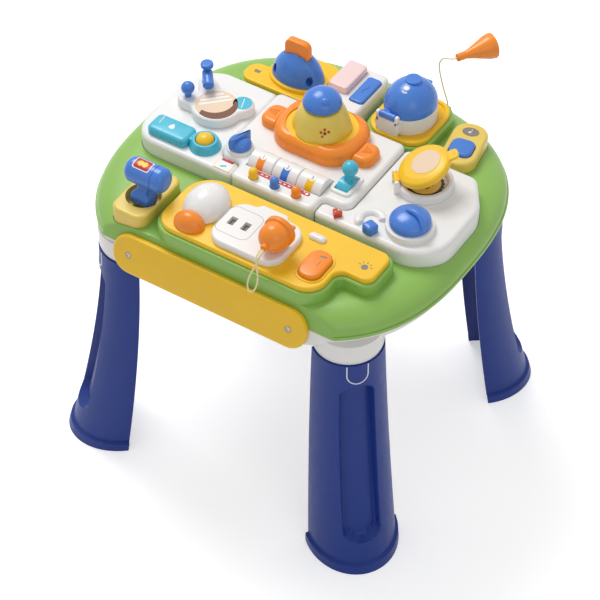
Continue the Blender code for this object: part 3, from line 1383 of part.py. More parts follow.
def make_living():
    plate = slab("living_plate", living_outline(), PLATE_THICKNESS, "yellow", top=PLATE_EDGE)
    place(plate, z=PLATE_BOTTOM)
    key_outline = rectangle(LIGHT_KEY_WIDTH, LIGHT_KEY_DEPTH, LIGHT_KEY_CORNER,
                            LIGHT_KEY_X, LIGHT_KEY_Y)
    ring = slab("key_ring", grow(key_outline, KEY_RING), 2 * KEY_RING_RISE, top=KEY_RING_RISE / 2)
    join(plate, place(ring, z=PLATE_TOP - KEY_RING_RISE))
    pocket = slab("key_pocket", grow(key_outline, RUN), 2 * PLATE_THICKNESS)
    combine(plate, place(pocket, z=PLATE_BOTTOM - OVERRUN))
    lift = KEY_TRAVEL + GAP
    key = slab("light_key", key_outline, PLATE_THICKNESS + LIGHT_KEY_RISE - lift, "orange",
               top=KEY_EDGE)
    place(key, z=PLATE_BOTTOM + lift)
    lens = half_ball("bulb_lens", BULB_HALF_WIDTH, BULB_HALF_LENGTH, BULB_HEIGHT, "white")
    place(lens, BULB_X, BULB_Y, PLATE_TOP + GAP)
    base = half_ball("bulb_base", BULB_BASE_HALF_WIDTH, BULB_BASE_HALF_LENGTH, BULB_BASE_HEIGHT,
                     "orange")
    place(base, BULB_X, BULB_BASE_Y, PLATE_TOP + GAP)
    room = ball("lens_room", BULB_HALF_WIDTH + RUN, BULB_HALF_LENGTH + RUN, BULB_HEIGHT + RUN)
    combine(base, place(room, BULB_X, BULB_Y, PLATE_TOP + GAP))
    pill = slab("pill_lamp", rectangle(PILL_LENGTH, PILL_WIDTH, PILL_WIDTH / 2 - GAP), PILL_HEIGHT,
                "white", top=PILL_HEIGHT / 2)
    place(pill, PILL_X, PILL_Y, PLATE_TOP + GAP)


def make_socket():
    seat = PLATE_TOP + GAP
    panel = slab("socket_panel", socket_outline(), SOCKET_PANEL_HEIGHT, "white",
                 top=SOCKET_PANEL_EDGE)
    place(panel, z=seat)
    for side in (-1, 1):
        slot = block("socket_slot", SLOT_WIDTH, SLOT_LENGTH, SLOT_DEPTH + OVERRUN)
        combine(panel, place(slot, SLOT_X + side * SLOT_SPACING / 2, SLOT_Y,
                             seat + SOCKET_PANEL_HEIGHT - SLOT_DEPTH))


def socket_outline():
    left, right = SOCKET_X - SOCKET_PANEL_WIDTH / 2, SOCKET_X + SOCKET_PANEL_WIDTH / 2
    front, back = SOCKET_Y - SOCKET_PANEL_DEPTH / 2, SOCKET_Y + SOCKET_PANEL_DEPTH / 2
    tab_left = SOCKET_TAB_X - SOCKET_TAB_WIDTH / 2
    tab_right = SOCKET_TAB_X + SOCKET_TAB_WIDTH / 2
    flare = SOCKET_TAB_CORNER
    return rounded([
        (left, front, SOCKET_PANEL_CORNER), (right, front, SOCKET_PANEL_CORNER),
        (right, back, SOCKET_PANEL_CORNER), (tab_right + flare, back, flare),
        (tab_right, SOCKET_TAB_BACK, flare), (tab_left, SOCKET_TAB_BACK, flare),
        (tab_left - flare, back, flare), (left, back, SOCKET_PANEL_CORNER)])


def make_plug():
    axis_z = PLATE_TOP + GAP + SOCKET_PANEL_HEIGHT + GAP + PLUG_FLANGE_RADIUS
    profile = [(0.0, PLUG_LENGTH)]
    profile += [(PLUG_RADIUS * 0.82, PLUG_LENGTH), (PLUG_RADIUS * 0.95, PLUG_LENGTH - KEY_EDGE),
                (PLUG_FLANGE_RADIUS, PLUG_LENGTH - KEY_EDGE - GAP),
                (PLUG_FLANGE_RADIUS, PLUG_LENGTH - KEY_EDGE - PLUG_FLANGE),
                (PLUG_RADIUS * 0.94, PLUG_LENGTH - KEY_EDGE - PLUG_FLANGE - GAP)]
    profile += [(PLUG_RADIUS * cos(a), PLUG_RADIUS * (1 - sin(a)) )
                for a in [pi / 2 * k / 4 for k in range(4)]]
    profile += [(PLUG_TAIL_RADIUS, 0.0), (PLUG_TAIL_RADIUS, -PLUG_TAIL), (0.0, -PLUG_TAIL)]
    plug = turned("plug", profile, "orange")
    rear = (PLUG_X, PLUG_REAR_Y, axis_z)
    lay(plug, rear, (0.0, 1.0, 0.0))
    for side in (-1, 1):
        prong = block("plug_prong", PRONG_WIDTH, PRONG_LENGTH + PLUG_LENGTH / 2, PRONG_THICKNESS,
                      edge=GAP)
        place(prong, PLUG_X + side * SLOT_SPACING / 2,
              PLUG_REAR_Y + PLUG_LENGTH * 3 / 4 + PRONG_LENGTH / 2 , axis_z - PRONG_THICKNESS / 2)
        join(plug, prong)
    tail_y = PLUG_REAR_Y - PLUG_TAIL - CORD_RADIUS
    route = [(PLUG_X + x, tail_y + y, axis_z + z) for x, y, z in LOOP_ROUTE]
    tube("plug_loop", through(route, CORD_POINTS), CORD_RADIUS, "lemon")


# Toggle lever

def make_toggle():
    top = DECK_TOP + TOGGLE_RISE
    base = slab("toggle_base", toggle_outline(), TOGGLE_SKIRT + TOGGLE_RISE, "yellow",
                top=TOGGLE_EDGE, wall=TOGGLE_WALL)
    place(base, z=top - TOGGLE_SKIRT - TOGGLE_RISE)
    cup = drum("dish_form", DISH_RADIUS + DISH_WALL, DISH_DEPTH + DISH_WALL - TOGGLE_WALL / 2)
    cup_z = top - DISH_DEPTH - DISH_WALL
    join(base, place(cup, LEVER_X, LEVER_Y, cup_z))
    bore(base, LEVER_X, LEVER_Y, top, DISH_RADIUS, DISH_DEPTH, ROUND_STEPS)
    pivot = Vector((LEVER_X, LEVER_Y, top - LEVER_PIVOT_DROP))
    pins = 2 * (DISH_RADIUS + DISH_WALL / 2)
    journal = drum("lever_journal", LEVER_PIN_RADIUS + GAP, pins, steps=PIN_STEPS)
    combine(base, lay(journal, pivot - Vector((pins / 2, 0.0, 0.0)), (1.0, 0.0, 0.0)))
    lever = drum("toggle_lever", LEVER_HUB_RADIUS, LEVER_WIDTH, "blue", SMALL_STEPS)
    lever.data.transform(Matrix.Rotation(pi / 2, 4, "Y")
                         @ Matrix.Translation((0.0, 0.0, -LEVER_WIDTH / 2)))
    lever.location = pivot
    length = pins - 2 * GAP
    pin = drum("lever_pin", LEVER_PIN_RADIUS, length, steps=PIN_STEPS)
    join(lever, lay(pin, pivot - Vector((length / 2, 0.0, 0.0)), (1.0, 0.0, 0.0)))
    rings = []
    for width, depth, z in ((LEVER_WIDTH, LEVER_FOOT * 0.6, 0.0), (LEVER_WIDTH, LEVER_FOOT, 0.006),
                            (LEVER_WIDTH * 0.92, LEVER_FOOT * 0.86, 0.012),
                            (LEVER_WIDTH * 0.62, LEVER_NECK, LEVER_LENGTH * 0.55),
                            (LEVER_WIDTH * 0.62, LEVER_NECK, LEVER_LENGTH)):
        rings.append([(x, y, z) for x, y in rectangle(width, depth, LEVER_CORNER)])
    neck = loft("lever_neck", rings)
    neck.location = pivot
    neck.rotation_euler = (LEVER_TILT, 0.0, 0.0)
    join(lever, neck)
    reach = Matrix.Rotation(LEVER_TILT, 3, "X") @ Vector((0.0, 0.0, LEVER_LENGTH))
    barrel = drum("lever_barrel", BARREL_RADIUS, BARREL_LENGTH, steps=ROUND_STEPS, edge=BARREL_EDGE)
    start = pivot + reach + Vector((BARREL_SHIFT - BARREL_LENGTH / 2, 0.0, 0.0))
    join(lever, lay(barrel, start, (1.0, 0.0, 0.0)))


# Left panel

def plaque_outline():
    """The farthest reach of the head disc and its lobes, seen from the head's middle."""
    discs = [(0.0, 0.0, PLAQUE_RADIUS)]
    for x, y, radius in ((BALL_TAP_X, BALL_TAP_Y, LOBE_RADIUS), (FAUCET_X, FAUCET_Y, LOBE_RADIUS),
                         (SIDE_LOBE_X, SIDE_LOBE_Y, SIDE_LOBE_RADIUS)):
        discs.append((x - PLAQUE_X, y - PLAQUE_Y, radius))
    reaches = []
    for step in range(PLAQUE_POINTS):
        angle = 2 * pi * step / PLAQUE_POINTS
        across, along = cos(angle), sin(angle)
        best = 0.0
        for x, y, radius in discs:
            near = x * across + y * along
            inside = radius * radius - x * x - y * y + near * near
            if inside > 0:
                best = max(best, near + sqrt(inside))
        reaches.append(best)
    outline = []
    for step in range(PLAQUE_POINTS):
        angle = 2 * pi * step / PLAQUE_POINTS
        reach = (reaches[step - 1] + 2 * reaches[step] + reaches[(step + 1) % PLAQUE_POINTS]) / 4
        outline.append((PLAQUE_X + reach * cos(angle), PLAQUE_Y + reach * sin(angle)))
    return outline


def make_left():
    panel = shell_panel("left_panel", left_panel_outline(), PANEL_TOP, PANEL_EDGE)
    seat = PANEL_TOP + GAP
    plaque = slab("face_plaque", plaque_outline(), PLAQUE_HEIGHT, "white", top=PLAQUE_EDGE)
    place(plaque, z=seat)
    top = seat + PLAQUE_HEIGHT
    bore(plaque, BALL_TAP_X, BALL_TAP_Y, top, TAP_STALK_RADIUS + RUN, PLAQUE_HEIGHT + OVERRUN)
    bore(plaque, FAUCET_X, FAUCET_Y, top, STEM_RADIUS + RUN, PLAQUE_HEIGHT + OVERRUN, PIN_STEPS)
    profile = [(0.0, TAP_LIFT + TAP_BALL_RADIUS)]
    profile += arc(0.0, TAP_LIFT, TAP_BALL_RADIUS, pi / 2, -pi / 3, 6)[1:]
    profile += [(TAP_STALK_RADIUS, TAP_LIFT - TAP_BALL_RADIUS), (TAP_STALK_RADIUS, -TAP_STEM),
                (0.0, -TAP_STEM)]
    place(turned("tap_ball", profile, "blue", SMALL_STEPS), BALL_TAP_X, BALL_TAP_Y, top)
    high = FAUCET_RISE + FAUCET_CAP_HEIGHT
    profile = [(0.0, high), (FAUCET_CAP_RADIUS - CAP_ROUND, high),
               (FAUCET_CAP_RADIUS, high - CAP_ROUND), (FAUCET_CAP_RADIUS, FAUCET_RISE + CAP_ROUND),
               (FAUCET_CAP_RADIUS - CAP_ROUND, FAUCET_RISE), (FAUCET_NECK_RADIUS, FAUCET_RISE),
               (FAUCET_NECK_RADIUS, 0.0), (STEM_RADIUS, 0.0), (STEM_RADIUS, -TAP_STEM),
               (0.0, -TAP_STEM)]
    faucet = turned("faucet", profile, "blue", SMALL_STEPS)
    place(faucet, FAUCET_X, FAUCET_Y, top + GAP)
    cap_end = SPOUT_RADIUS - CAP_ROUND
    profile = [(0.0, SPOUT_LENGTH), (cap_end, SPOUT_LENGTH),
               (SPOUT_RADIUS, SPOUT_LENGTH - CAP_ROUND), (SPOUT_RADIUS, 0.0), (0.0, 0.0)]
    spout = turned("spout", profile, None, SMALL_STEPS)
    start = Vector((FAUCET_X, FAUCET_Y, top + FAUCET_RISE - SPOUT_RADIUS))
    along = Vector((cos(SPOUT_BEARING), sin(SPOUT_BEARING), -SPOUT_DROOP / SPOUT_LENGTH))
    join(faucet, lay(spout, start, along))
    body = slab("bottle_body", rectangle(BOTTLE_LENGTH, BOTTLE_WIDTH, BOTTLE_CORNER),
                BOTTLE_HEIGHT, "cyan", top=BOTTLE_EDGE)
    place(body, BOTTLE_X, BOTTLE_Y, seat)
    collar = turned("bottle_collar", [
        (0.0, COLLAR_HEIGHT), (COLLAR_TOP_RADIUS - CAP_ROUND, COLLAR_HEIGHT),
        (COLLAR_TOP_RADIUS, COLLAR_HEIGHT - CAP_ROUND), (COLLAR_RADIUS, CAP_ROUND),
        (COLLAR_RADIUS, 0.0), (0.0, 0.0)])
    join(body, place(collar, COLLAR_X, COLLAR_Y, seat))
    neck = block("bottle_neck", COLLAR_X - BOTTLE_X, BOTTLE_NECK_WIDTH,
                 COLLAR_HEIGHT - CAP_ROUND)
    join(body, place(neck, (COLLAR_X + BOTTLE_X) / 2, (COLLAR_Y + BOTTLE_Y) / 2, seat))
    bore(body, COLLAR_X, COLLAR_Y, seat + COLLAR_HEIGHT, PUMP_RADIUS + RUN,
         COLLAR_HEIGHT + OVERRUN, ROUND_STEPS)
    lift = PUMP_TRAVEL + GAP
    rise = COLLAR_HEIGHT - lift
    profile = [(0.0, rise + PUMP_RISE)]
    profile += [(PUMP_RADIUS * cos(a), rise + PUMP_RISE * sin(a))
                for a in (pi / 3, pi / 5, pi / 12)] + [(PUMP_RADIUS, rise - CAP_ROUND)]
    profile += [(PUMP_RADIUS, 0.0), (0.0, 0.0)]
    place(turned("bottle_button", profile, "yellow"), COLLAR_X, COLLAR_Y, seat + lift)
    return panel


# Right panel

def heart_outline(size):
    outline = []
    for step in range(HEART_POINTS):
        t = -2 * pi * step / HEART_POINTS
        x = 16 * sin(t) ** 3
        y = 13 * cos(t) - 5 * cos(2 * t) - 2 * cos(3 * t) - cos(4 * t)
        outline.append((size * x / 16, size * y / 16))
    return outline


def sweep(name, points, radii, colour=None, steps=PIN_STEPS):
    """A round worm through points, its radius given at each."""
    rings = []
    last = len(points) - 1
    for index, point in enumerate(points):
        ahead = Vector(points[min(index + 1, last)]) - Vector(points[max(index - 1, 0)])
        turn = ahead.to_track_quat("Z", "Y")
        radius = radii[index]
        ring = []
        for step in range(steps):
            angle = 2 * pi * step / steps
            offset = turn @ Vector((radius * cos(angle), radius * sin(angle), 0.0))
            ring.append(Vector(point) + offset)
        rings.append(ring)
    return loft(name, rings, colour)


def make_right():
    panel = shell_panel("right_panel", right_panel_outline(), PANEL_TOP, PANEL_EDGE)
    deep = 2 * PANEL_WALL
    window = slab("heart_window", heart_outline(HEART_SIZE + 3 * RUN), 2 * deep)
    combine(panel, place(window, HEART_X, HEART_Y, PANEL_TOP - deep))
    heart = slab("heart_button", heart_outline(HEART_SIZE), HEART_RISE + KEY_SKIRT, "red", top=CAP_ROUND)
    place(heart, HEART_X, HEART_Y, PANEL_TOP - KEY_SKIRT)
    points, radii = [], []
    ends = (TUBE_TIP_SHARE, TUBE_BLUNT_SHARE)
    for step in range(TUBE_STEPS + 1):
        angle = TUBE_START + TUBE_SWEEP * step / TUBE_STEPS
        points.append((TUBE_X + TUBE_REACH * cos(angle), TUBE_Y + TUBE_REACH * sin(angle),
                       PANEL_TOP - TUBE_SINK))
        left = TUBE_STEPS - step
        radii.append(TUBE_RADIUS * (ends[left] if left < len(ends) else 1.0))
    join(panel, sweep("horseshoe", points, radii))
    ring = slab("spinner_ring", ellipse(SPINNER_RING_RADIUS, SPINNER_RING_RADIUS),
                SPINNER_RING_RISE + PANEL_WALL / 2, top=CAP_ROUND)
    join(panel, place(ring, SPINNER_X, SPINNER_Y, PANEL_TOP - PANEL_WALL / 2))
    bore(panel, SPINNER_X, SPINNER_Y, PANEL_TOP + SPINNER_RING_RISE, STEM_RADIUS + RUN,
         deep + SPINNER_RING_RISE, PIN_STEPS)
    bore(panel, CORNER_KNOB_X, CORNER_KNOB_Y, PANEL_TOP, STEM_RADIUS + RUN, deep, PIN_STEPS)
    knob = slab("corner_knob", rectangle(CORNER_KNOB_SIZE, CORNER_KNOB_SIZE, CORNER_KNOB_CORNER),
                CORNER_KNOB_HEIGHT, "blue", top=CORNER_KNOB_CORNER)
    place(knob, CORNER_KNOB_X, CORNER_KNOB_Y, PANEL_TOP + GAP, CORNER_KNOB_TURN)
    stem = drum("knob_stem", STEM_RADIUS, STEM_LENGTH + CAP_ROUND, steps=PIN_STEPS)
    join(knob, place(stem, CORNER_KNOB_X, CORNER_KNOB_Y, PANEL_TOP + GAP - STEM_LENGTH))
    make_spinner()
    make_cup()
    return panel


def make_spinner():
    base = PANEL_TOP + SPINNER_RING_RISE + GAP
    flat = SPINNER_HEIGHT - SPINNER_SIDE
    profile = [(0.0, SPINNER_HEIGHT)]
    profile += [(SPINNER_RADIUS * cos(a), SPINNER_SIDE + flat * sin(a))
                for a in [pi / 2 * (4 - k) / 5 for k in range(5)]]
    profile += [(SPINNER_RADIUS, 0.0), (STEM_RADIUS, 0.0),
                (STEM_RADIUS, -SPINNER_RING_RISE - STEM_LENGTH / 2),
                (0.0, -SPINNER_RING_RISE - STEM_LENGTH / 2)]
    spinner = place(turned("spinner", profile, "blue"), SPINNER_X, SPINNER_Y, base)
    points, radii = [], []
    for share, bow, rise, swell in RIDGE_ROUTE:
        out = SPINNER_RADIUS * share
        points.append((SPINNER_X + out * cos(RIDGE_BEARING) - bow * sin(RIDGE_BEARING),
                       SPINNER_Y + out * sin(RIDGE_BEARING) + bow * cos(RIDGE_BEARING),
                       base + SPINNER_HEIGHT * rise))
        radii.append(SPINNER_RIDGE_WIDTH / 2 * swell)
    join(spinner, sweep("spinner_ridge", points, radii))
    return spinner


def hinge_ear(name, radius, drop, width):
    """A plate with a round head about a hinge, to be stood up by UPRIGHT."""
    head = [(radius * cos(a), radius * sin(a)) for a in [pi * k / 6 for k in range(7)]]
    return slab(name, [(-radius, -drop), (radius, -drop)] + head, width)


def make_cup():
    seat = PANEL_TOP + GAP
    profile = [(0.0, CUP_FLOOR), (CUP_BORE, CUP_FLOOR), (CUP_BORE, CUP_RISE - CUP_EDGE / 2),
               (CUP_BORE + CUP_EDGE / 2, CUP_RISE), (CUP_RADIUS - CUP_EDGE, CUP_RISE),
               (CUP_RADIUS, CUP_RISE - CUP_EDGE), (CUP_RADIUS, 0.0), (0.0, 0.0)]
    cup = place(turned("cup_ring", profile, "white", WIDE_STEPS), CUP_X, CUP_Y, seat)
    hinge = Vector((CUP_X + LID_REACH * cos(CUP_BEARING), CUP_Y + LID_REACH * sin(CUP_BEARING),
                    seat + CUP_RISE + HINGE_RADIUS + GAP))
    frame = Matrix.Translation(hinge) @ Matrix.Rotation(CUP_BEARING - pi, 4, "Z")
    for start in (-HINGE_LENGTH / 2 - GAP, HINGE_LENGTH / 2 + GAP + HINGE_EAR):
        ear = hinge_ear("lid_ear", HINGE_RADIUS, hinge.z - seat, HINGE_EAR)
        ear.matrix_world = frame @ Matrix.Translation((0.0, start, 0.0)) @ UPRIGHT
        join(cup, ear)
    span = HINGE_LENGTH + 2 * HINGE_EAR + 2 * OVERRUN
    journal = drum("lid_journal", HINGE_PIN + GAP, span, steps=PIN_STEPS)
    journal.matrix_world = (frame @ Matrix.Translation((0.0, span / 2, 0.0))
                            @ Matrix.Rotation(pi / 2, 4, "X"))
    combine(cup, journal)
    tilt = frame @ Matrix.Rotation(-LID_OPEN, 4, "Y")
    lid = drum("cup_lid", HINGE_RADIUS, HINGE_LENGTH, "yellow")
    lid.data.transform(Matrix.Rotation(pi / 2, 4, "X")
                       @ Matrix.Translation((0.0, 0.0, -HINGE_LENGTH / 2)))
    lid.matrix_world = tilt
    length = HINGE_LENGTH + 2 * HINGE_EAR
    pin = drum("lid_pin", HINGE_PIN, length, steps=PIN_STEPS)
    pin.matrix_world = (tilt @ Matrix.Translation((0.0, length / 2, 0.0))
                        @ Matrix.Rotation(pi / 2, 4, "X"))
    join(lid, pin)
    disc = drum("lid_disc", LID_RADIUS, LID_THICKNESS, steps=WIDE_STEPS, edge=LID_EDGE)
    disc.matrix_world = tilt @ Matrix.Translation((LID_REACH, 0.0, -HINGE_RADIUS))
    join(lid, disc)
    web = block("lid_web", LID_REACH - LID_RADIUS + LID_EDGE, LID_TAB_WIDTH, LID_TAB_THICKNESS)
    web.matrix_world = tilt @ Matrix.Translation(((LID_REACH - LID_RADIUS + LID_EDGE) / 2, 0.0,
                                                  -LID_TAB_THICKNESS / 2 + GAP))
    join(lid, web)
    tab = slab("lid_tab", rectangle(2 * LID_TAB_LENGTH, LID_TAB_WIDTH, LID_TAB_LENGTH / 2),
               LID_TAB_THICKNESS)
    tab.matrix_world = tilt @ Matrix.Translation((LID_REACH + LID_RADIUS, 0.0, -GAP))
    join(lid, tab)
    hollow = drum("lid_hollow", LID_RADIUS - LID_WALL, LID_THICKNESS - LID_WALL + OVERRUN,
                  steps=WIDE_STEPS)
    hollow.matrix_world = tilt @ Matrix.Translation((LID_REACH, 0.0, -HINGE_RADIUS - OVERRUN))
    combine(lid, hollow)
    return hinge


# Music plate

def make_music():
    height = MUSIC_RISE + MUSIC_SKIRT
    plate = slab("music_plate", music_outline(), height, "yellow", top=KEY_EDGE, wall=PANEL_WALL)
    place(plate, z=DECK_TOP - MUSIC_SKIRT)
    spin = Matrix.Rotation(MUSIC_TURN, 2)
    middle = Vector((MUSIC_X, MUSIC_Y)) + spin @ Vector((0.0, MUSIC_KEY_SHIFT))
    flat = rectangle(MUSIC_KEY_WIDTH, MUSIC_KEY_DEPTH, MUSIC_KEY_CORNER)
    outline = [tuple(spin @ Vector(point) + middle) for point in flat]
    top = DECK_TOP + MUSIC_RISE
    window = slab("music_window", grow(outline, RUN), 4 * PANEL_WALL)
    combine(plate, place(window, z=top - 2 * PANEL_WALL))
    key = slab("music_key", outline, KEY_SKIRT + MUSIC_KEY_RISE, "blue", top=KEY_EDGE)
    place(key, z=top - KEY_SKIRT)


# Toaster

def make_toaster():
    plate_z = DECK_TOP + BACK_PLINTH_RISE + GAP
    top = plate_z + TOASTER_PLATE_THICKNESS
    plate = slab("toaster_plate", toaster_outline(), TOASTER_PLATE_THICKNESS, "yellow",
                 top=PLATE_EDGE)
    place(plate, z=plate_z)
    hull = ellipse(TOASTER_HALF_WIDTH, TOASTER_HALF_DEPTH, x=TOASTER_X, y=TOASTER_Y)
    collar = slab("toaster_collar", grow(hull, TOASTER_RING), TOASTER_RING_RISE + PLATE_EDGE / 2,
                  top=PLATE_EDGE)
    join(plate, place(collar, z=top - PLATE_EDGE / 2))
    room = slab("toaster_room", grow(hull, GAP), TOASTER_RING_RISE + OVERRUN)
    combine(plate, place(room, z=top))
    body = half_ball("toaster_body", TOASTER_HALF_WIDTH, TOASTER_HALF_DEPTH, TOASTER_HEIGHT,
                     "blue", shell=TOASTER_WALL)
    place(body, TOASTER_X, TOASTER_Y, top + GAP)
    mouth = block("toast_mouth", TOAST_WIDTH + 2 * TOAST_PLAY, TOAST_THICKNESS + 2 * TOAST_PLAY,
                  TOASTER_HEIGHT)
    combine(body, place(mouth, TOASTER_X, TOASTER_Y, top + TOASTER_HEIGHT / 2))
    for side in (-1, 1):
        hole = slab("side_hole", ellipse(EYE_RADIUS, EYE_RADIUS * EYE_STRETCH, SMALL_STEPS),
                    TOASTER_HALF_WIDTH)
        combine(body, lay(hole, (TOASTER_X + side * EYE_SPREAD_SHARE * TOASTER_HALF_WIDTH,
                                 TOASTER_Y, top + EYE_HEIGHT), (side * EYE_SPLAY, -1.0, 0.0)))
    toast = slab("toast_slice", rounded([
        (-TOAST_WIDTH / 2, 0.0, TOAST_CORNER / 3), (TOAST_WIDTH / 2, 0.0, TOAST_CORNER / 3),
        (TOAST_WIDTH / 2, TOAST_HEIGHT, TOAST_CORNER),
        (-TOAST_WIDTH / 2, TOAST_HEIGHT, TOAST_CORNER)]), TOAST_THICKNESS, "orange",
        top=TOAST_EDGE, bottom=TOAST_EDGE)
    toast.location = (TOASTER_X, TOASTER_Y + TOAST_THICKNESS / 2,
                      top + GAP + TOASTER_HEIGHT + TOAST_SHOW - TOAST_HEIGHT)
    toast.rotation_euler = (pi / 2, 0.0, 0.0)


# Piano keys

def piano_outline(x, y, width, depth, margin=0.0):
    outline = rectangle(width, depth, PIANO_CORNER, x, y)
    return grow(outline, margin) if margin else outline


def make_keys():
    for name, x, y, width, depth, rise, colour in (
            ("pink_key", PINK_KEY_X, PINK_KEY_Y, PINK_KEY_WIDTH, PINK_KEY_DEPTH, PINK_KEY_RISE,
             "pink"),
            ("blue_key", BLUE_KEY_X, BLUE_KEY_Y, BLUE_KEY_WIDTH, BLUE_KEY_DEPTH, BLUE_KEY_RISE,
             "blue")):
        key = slab(name, piano_outline(x, y, width, depth), rise + PIANO_SINK, colour,
                   top=KEY_EDGE / 2)
        place(key, z=BLOCK_TOP - PIANO_SINK)


# Cooker

def make_cooker():
    plate_z = DECK_TOP + BACK_PLINTH_RISE + GAP
    plate = slab("cooker_ring", cooker_outline(), COOKER_PLATE_THICKNESS, "yellow", top=PLATE_EDGE)
    place(plate, z=plate_z)
    seat = plate_z + COOKER_PLATE_THICKNESS + GAP
    body = slab("cooker_body", ellipse(COOKER_HALF_WIDTH, COOKER_HALF_DEPTH), COOKER_HEIGHT,
                "white", bottom=PLATE_EDGE)
    place(body, COOKER_X, COOKER_Y, seat)
    hinge = Vector((COOKER_X + COOKER_HINGE_X, COOKER_Y - COOKER_HALF_DEPTH - COOKER_HINGE_OUT,
                    seat + COOKER_HEIGHT + GAP + COOKER_HINGE_RADIUS))
    ear_radius = COOKER_EAR_RADIUS
    bracket = block("cooker_bracket", COOKER_BRACKET_WIDTH, 2 * ear_radius + COOKER_WALL,
                    COOKER_HEIGHT)
    join(body, place(bracket, hinge.x, hinge.y + COOKER_WALL / 2, seat))
    barrel_length = COOKER_BRACKET_WIDTH - 2 * (COOKER_EAR + GAP)
    frame = Matrix.Translation(hinge) @ Matrix.Rotation(pi / 2, 4, "Z")
    for start in (COOKER_EAR - COOKER_BRACKET_WIDTH / 2, COOKER_BRACKET_WIDTH / 2):
        ear = hinge_ear("cooker_ear", ear_radius, COOKER_HEIGHT / 2, COOKER_EAR)
        ear.matrix_world = frame @ Matrix.Translation((0.0, -start + COOKER_EAR, 0.0)) @ UPRIGHT
        join(body, ear)
    span = COOKER_BRACKET_WIDTH - COOKER_EAR
    journal = drum("cooker_journal", HINGE_PIN + GAP, span, steps=PIN_STEPS)
    combine(body, lay(journal, (hinge.x - span / 2, hinge.y, hinge.z), (1.0, 0.0, 0.0)))
    cavity = slab("cooker_hollow", ellipse(COOKER_HALF_WIDTH - COOKER_WALL,
                                           COOKER_HALF_DEPTH - COOKER_WALL),
                  COOKER_HEIGHT - COOKER_FLOOR + OVERRUN)
    combine(body, place(cavity, COOKER_X, COOKER_Y, seat + COOKER_FLOOR))
    rim = seat + COOKER_HEIGHT + GAP
    lid = drum("cooker_lid", COOKER_HINGE_RADIUS, barrel_length, "blue")
    lid.data.transform(Matrix.Rotation(pi / 2, 4, "Y")
                       @ Matrix.Translation((0.0, 0.0, -barrel_length / 2)))
    lid.location = hinge
    cover = half_ball("cooker_cover", COOKER_HALF_WIDTH, COOKER_HALF_DEPTH, COOKER_LID_HEIGHT,
                      shell=COOKER_LID_WALL)
    join(lid, place(cover, COOKER_X, COOKER_Y, rim))
    web = block("cooker_web", barrel_length - COOKER_EAR, 2 * COOKER_HINGE_RADIUS,
                COOKER_HINGE_RADIUS)
    join(lid, place(web, hinge.x, hinge.y + COOKER_HINGE_RADIUS + COOKER_LID_WALL / 2,
                    rim + COOKER_HINGE_RADIUS / 3))
    length = span - 2 * GAP
    pin = drum("cooker_pin", HINGE_PIN, length, steps=PIN_STEPS)
    join(lid, lay(pin, (hinge.x - length / 2, hinge.y, hinge.z), (1.0, 0.0, 0.0)))
    vent = drum("cooker_vent", COOKER_VENT_RADIUS, COOKER_VENT_RISE + COOKER_LID_WALL + CAP_ROUND,
                steps=SMALL_STEPS)
    join(lid, place(vent, COOKER_X, COOKER_Y + COOKER_VENT_SHIFT, rim + COOKER_LID_HEIGHT
                    - COOKER_LID_WALL - CAP_ROUND))
    bar = COOKER_HANDLE_BAR
    width, depth = COOKER_HANDLE_WIDTH, COOKER_HANDLE_DEPTH
    handle = slab("cooker_handle", rectangle(width, depth, bar), 2 * bar, top=bar / 2)
    handle_y = COOKER_Y + COOKER_HALF_DEPTH - bar
    join(lid, place(handle, COOKER_X, handle_y, rim + COOKER_HANDLE_LIFT))
    gap_cut = block("cooker_handle_gap", width - 2 * bar, depth / 2 - bar, 6 * bar)
    combine(lid, place(gap_cut, COOKER_X, handle_y + depth / 4 - bar / 2,
                       rim + COOKER_HANDLE_LIFT - 2 * bar))
    return hinge


# Scoop on its tether

def make_scoop(deck):
    boss = drum("tether_boss", TETHER_BOSS_RADIUS, TETHER_BOSS_HEIGHT, edge=KEY_RING_RISE / 2)
    join(deck, place(boss, TETHER_X, TETHER_Y, TETHER_BOSS_Z))
    bore(deck, TETHER_X, TETHER_Y, TETHER_BOSS_Z + TETHER_BOSS_HEIGHT, TETHER_RADIUS + 2 * RUN,
         2 * TETHER_BOSS_HEIGHT, PIN_STEPS)
    tube("scoop_tether", through(TETHER_ROUTE, TETHER_POINTS), TETHER_RADIUS, "cream")
    tail = Vector(TETHER_ROUTE[-1])
    along = Vector(SCOOP_AIM).normalized()
    profile = []
    for share, radius in SCOOP_OUTER:
        profile.append((SCOOP_MOUTH_RADIUS * radius, SCOOP_LENGTH * share))
    for share, radius in SCOOP_INNER:
        profile.append((SCOOP_MOUTH_RADIUS * radius, SCOOP_LENGTH * share))
    scoop = turned("scoop", profile[::-1], "orange")
    lay(scoop, tail + along * GAP, along)


# Build

TRAY = make_tray()
DECK = make_deck()
make_works()
make_legs()
make_fascia(TRAY)
make_centre()
make_drums()
make_pegs()
make_selector()
make_joystick()
make_raft()
make_dome()
make_living()
make_socket()
make_plug()
make_toggle()
make_left()
make_right()
make_music()
make_toaster()
make_keys()
make_cooker()
make_scoop(DECK)
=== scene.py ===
"""Looks of a toddler's musical activity table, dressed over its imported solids.

Lengths are metres.  The origin is on the floor under the table's middle, +X runs
along the front from left to right, +Y runs to the back and +Z is up.
"""

import json
from math import acos, atan2, ceil, cos, pi, radians, sin, sqrt, tan

import bmesh
import bpy
from mathutils import Matrix, Vector


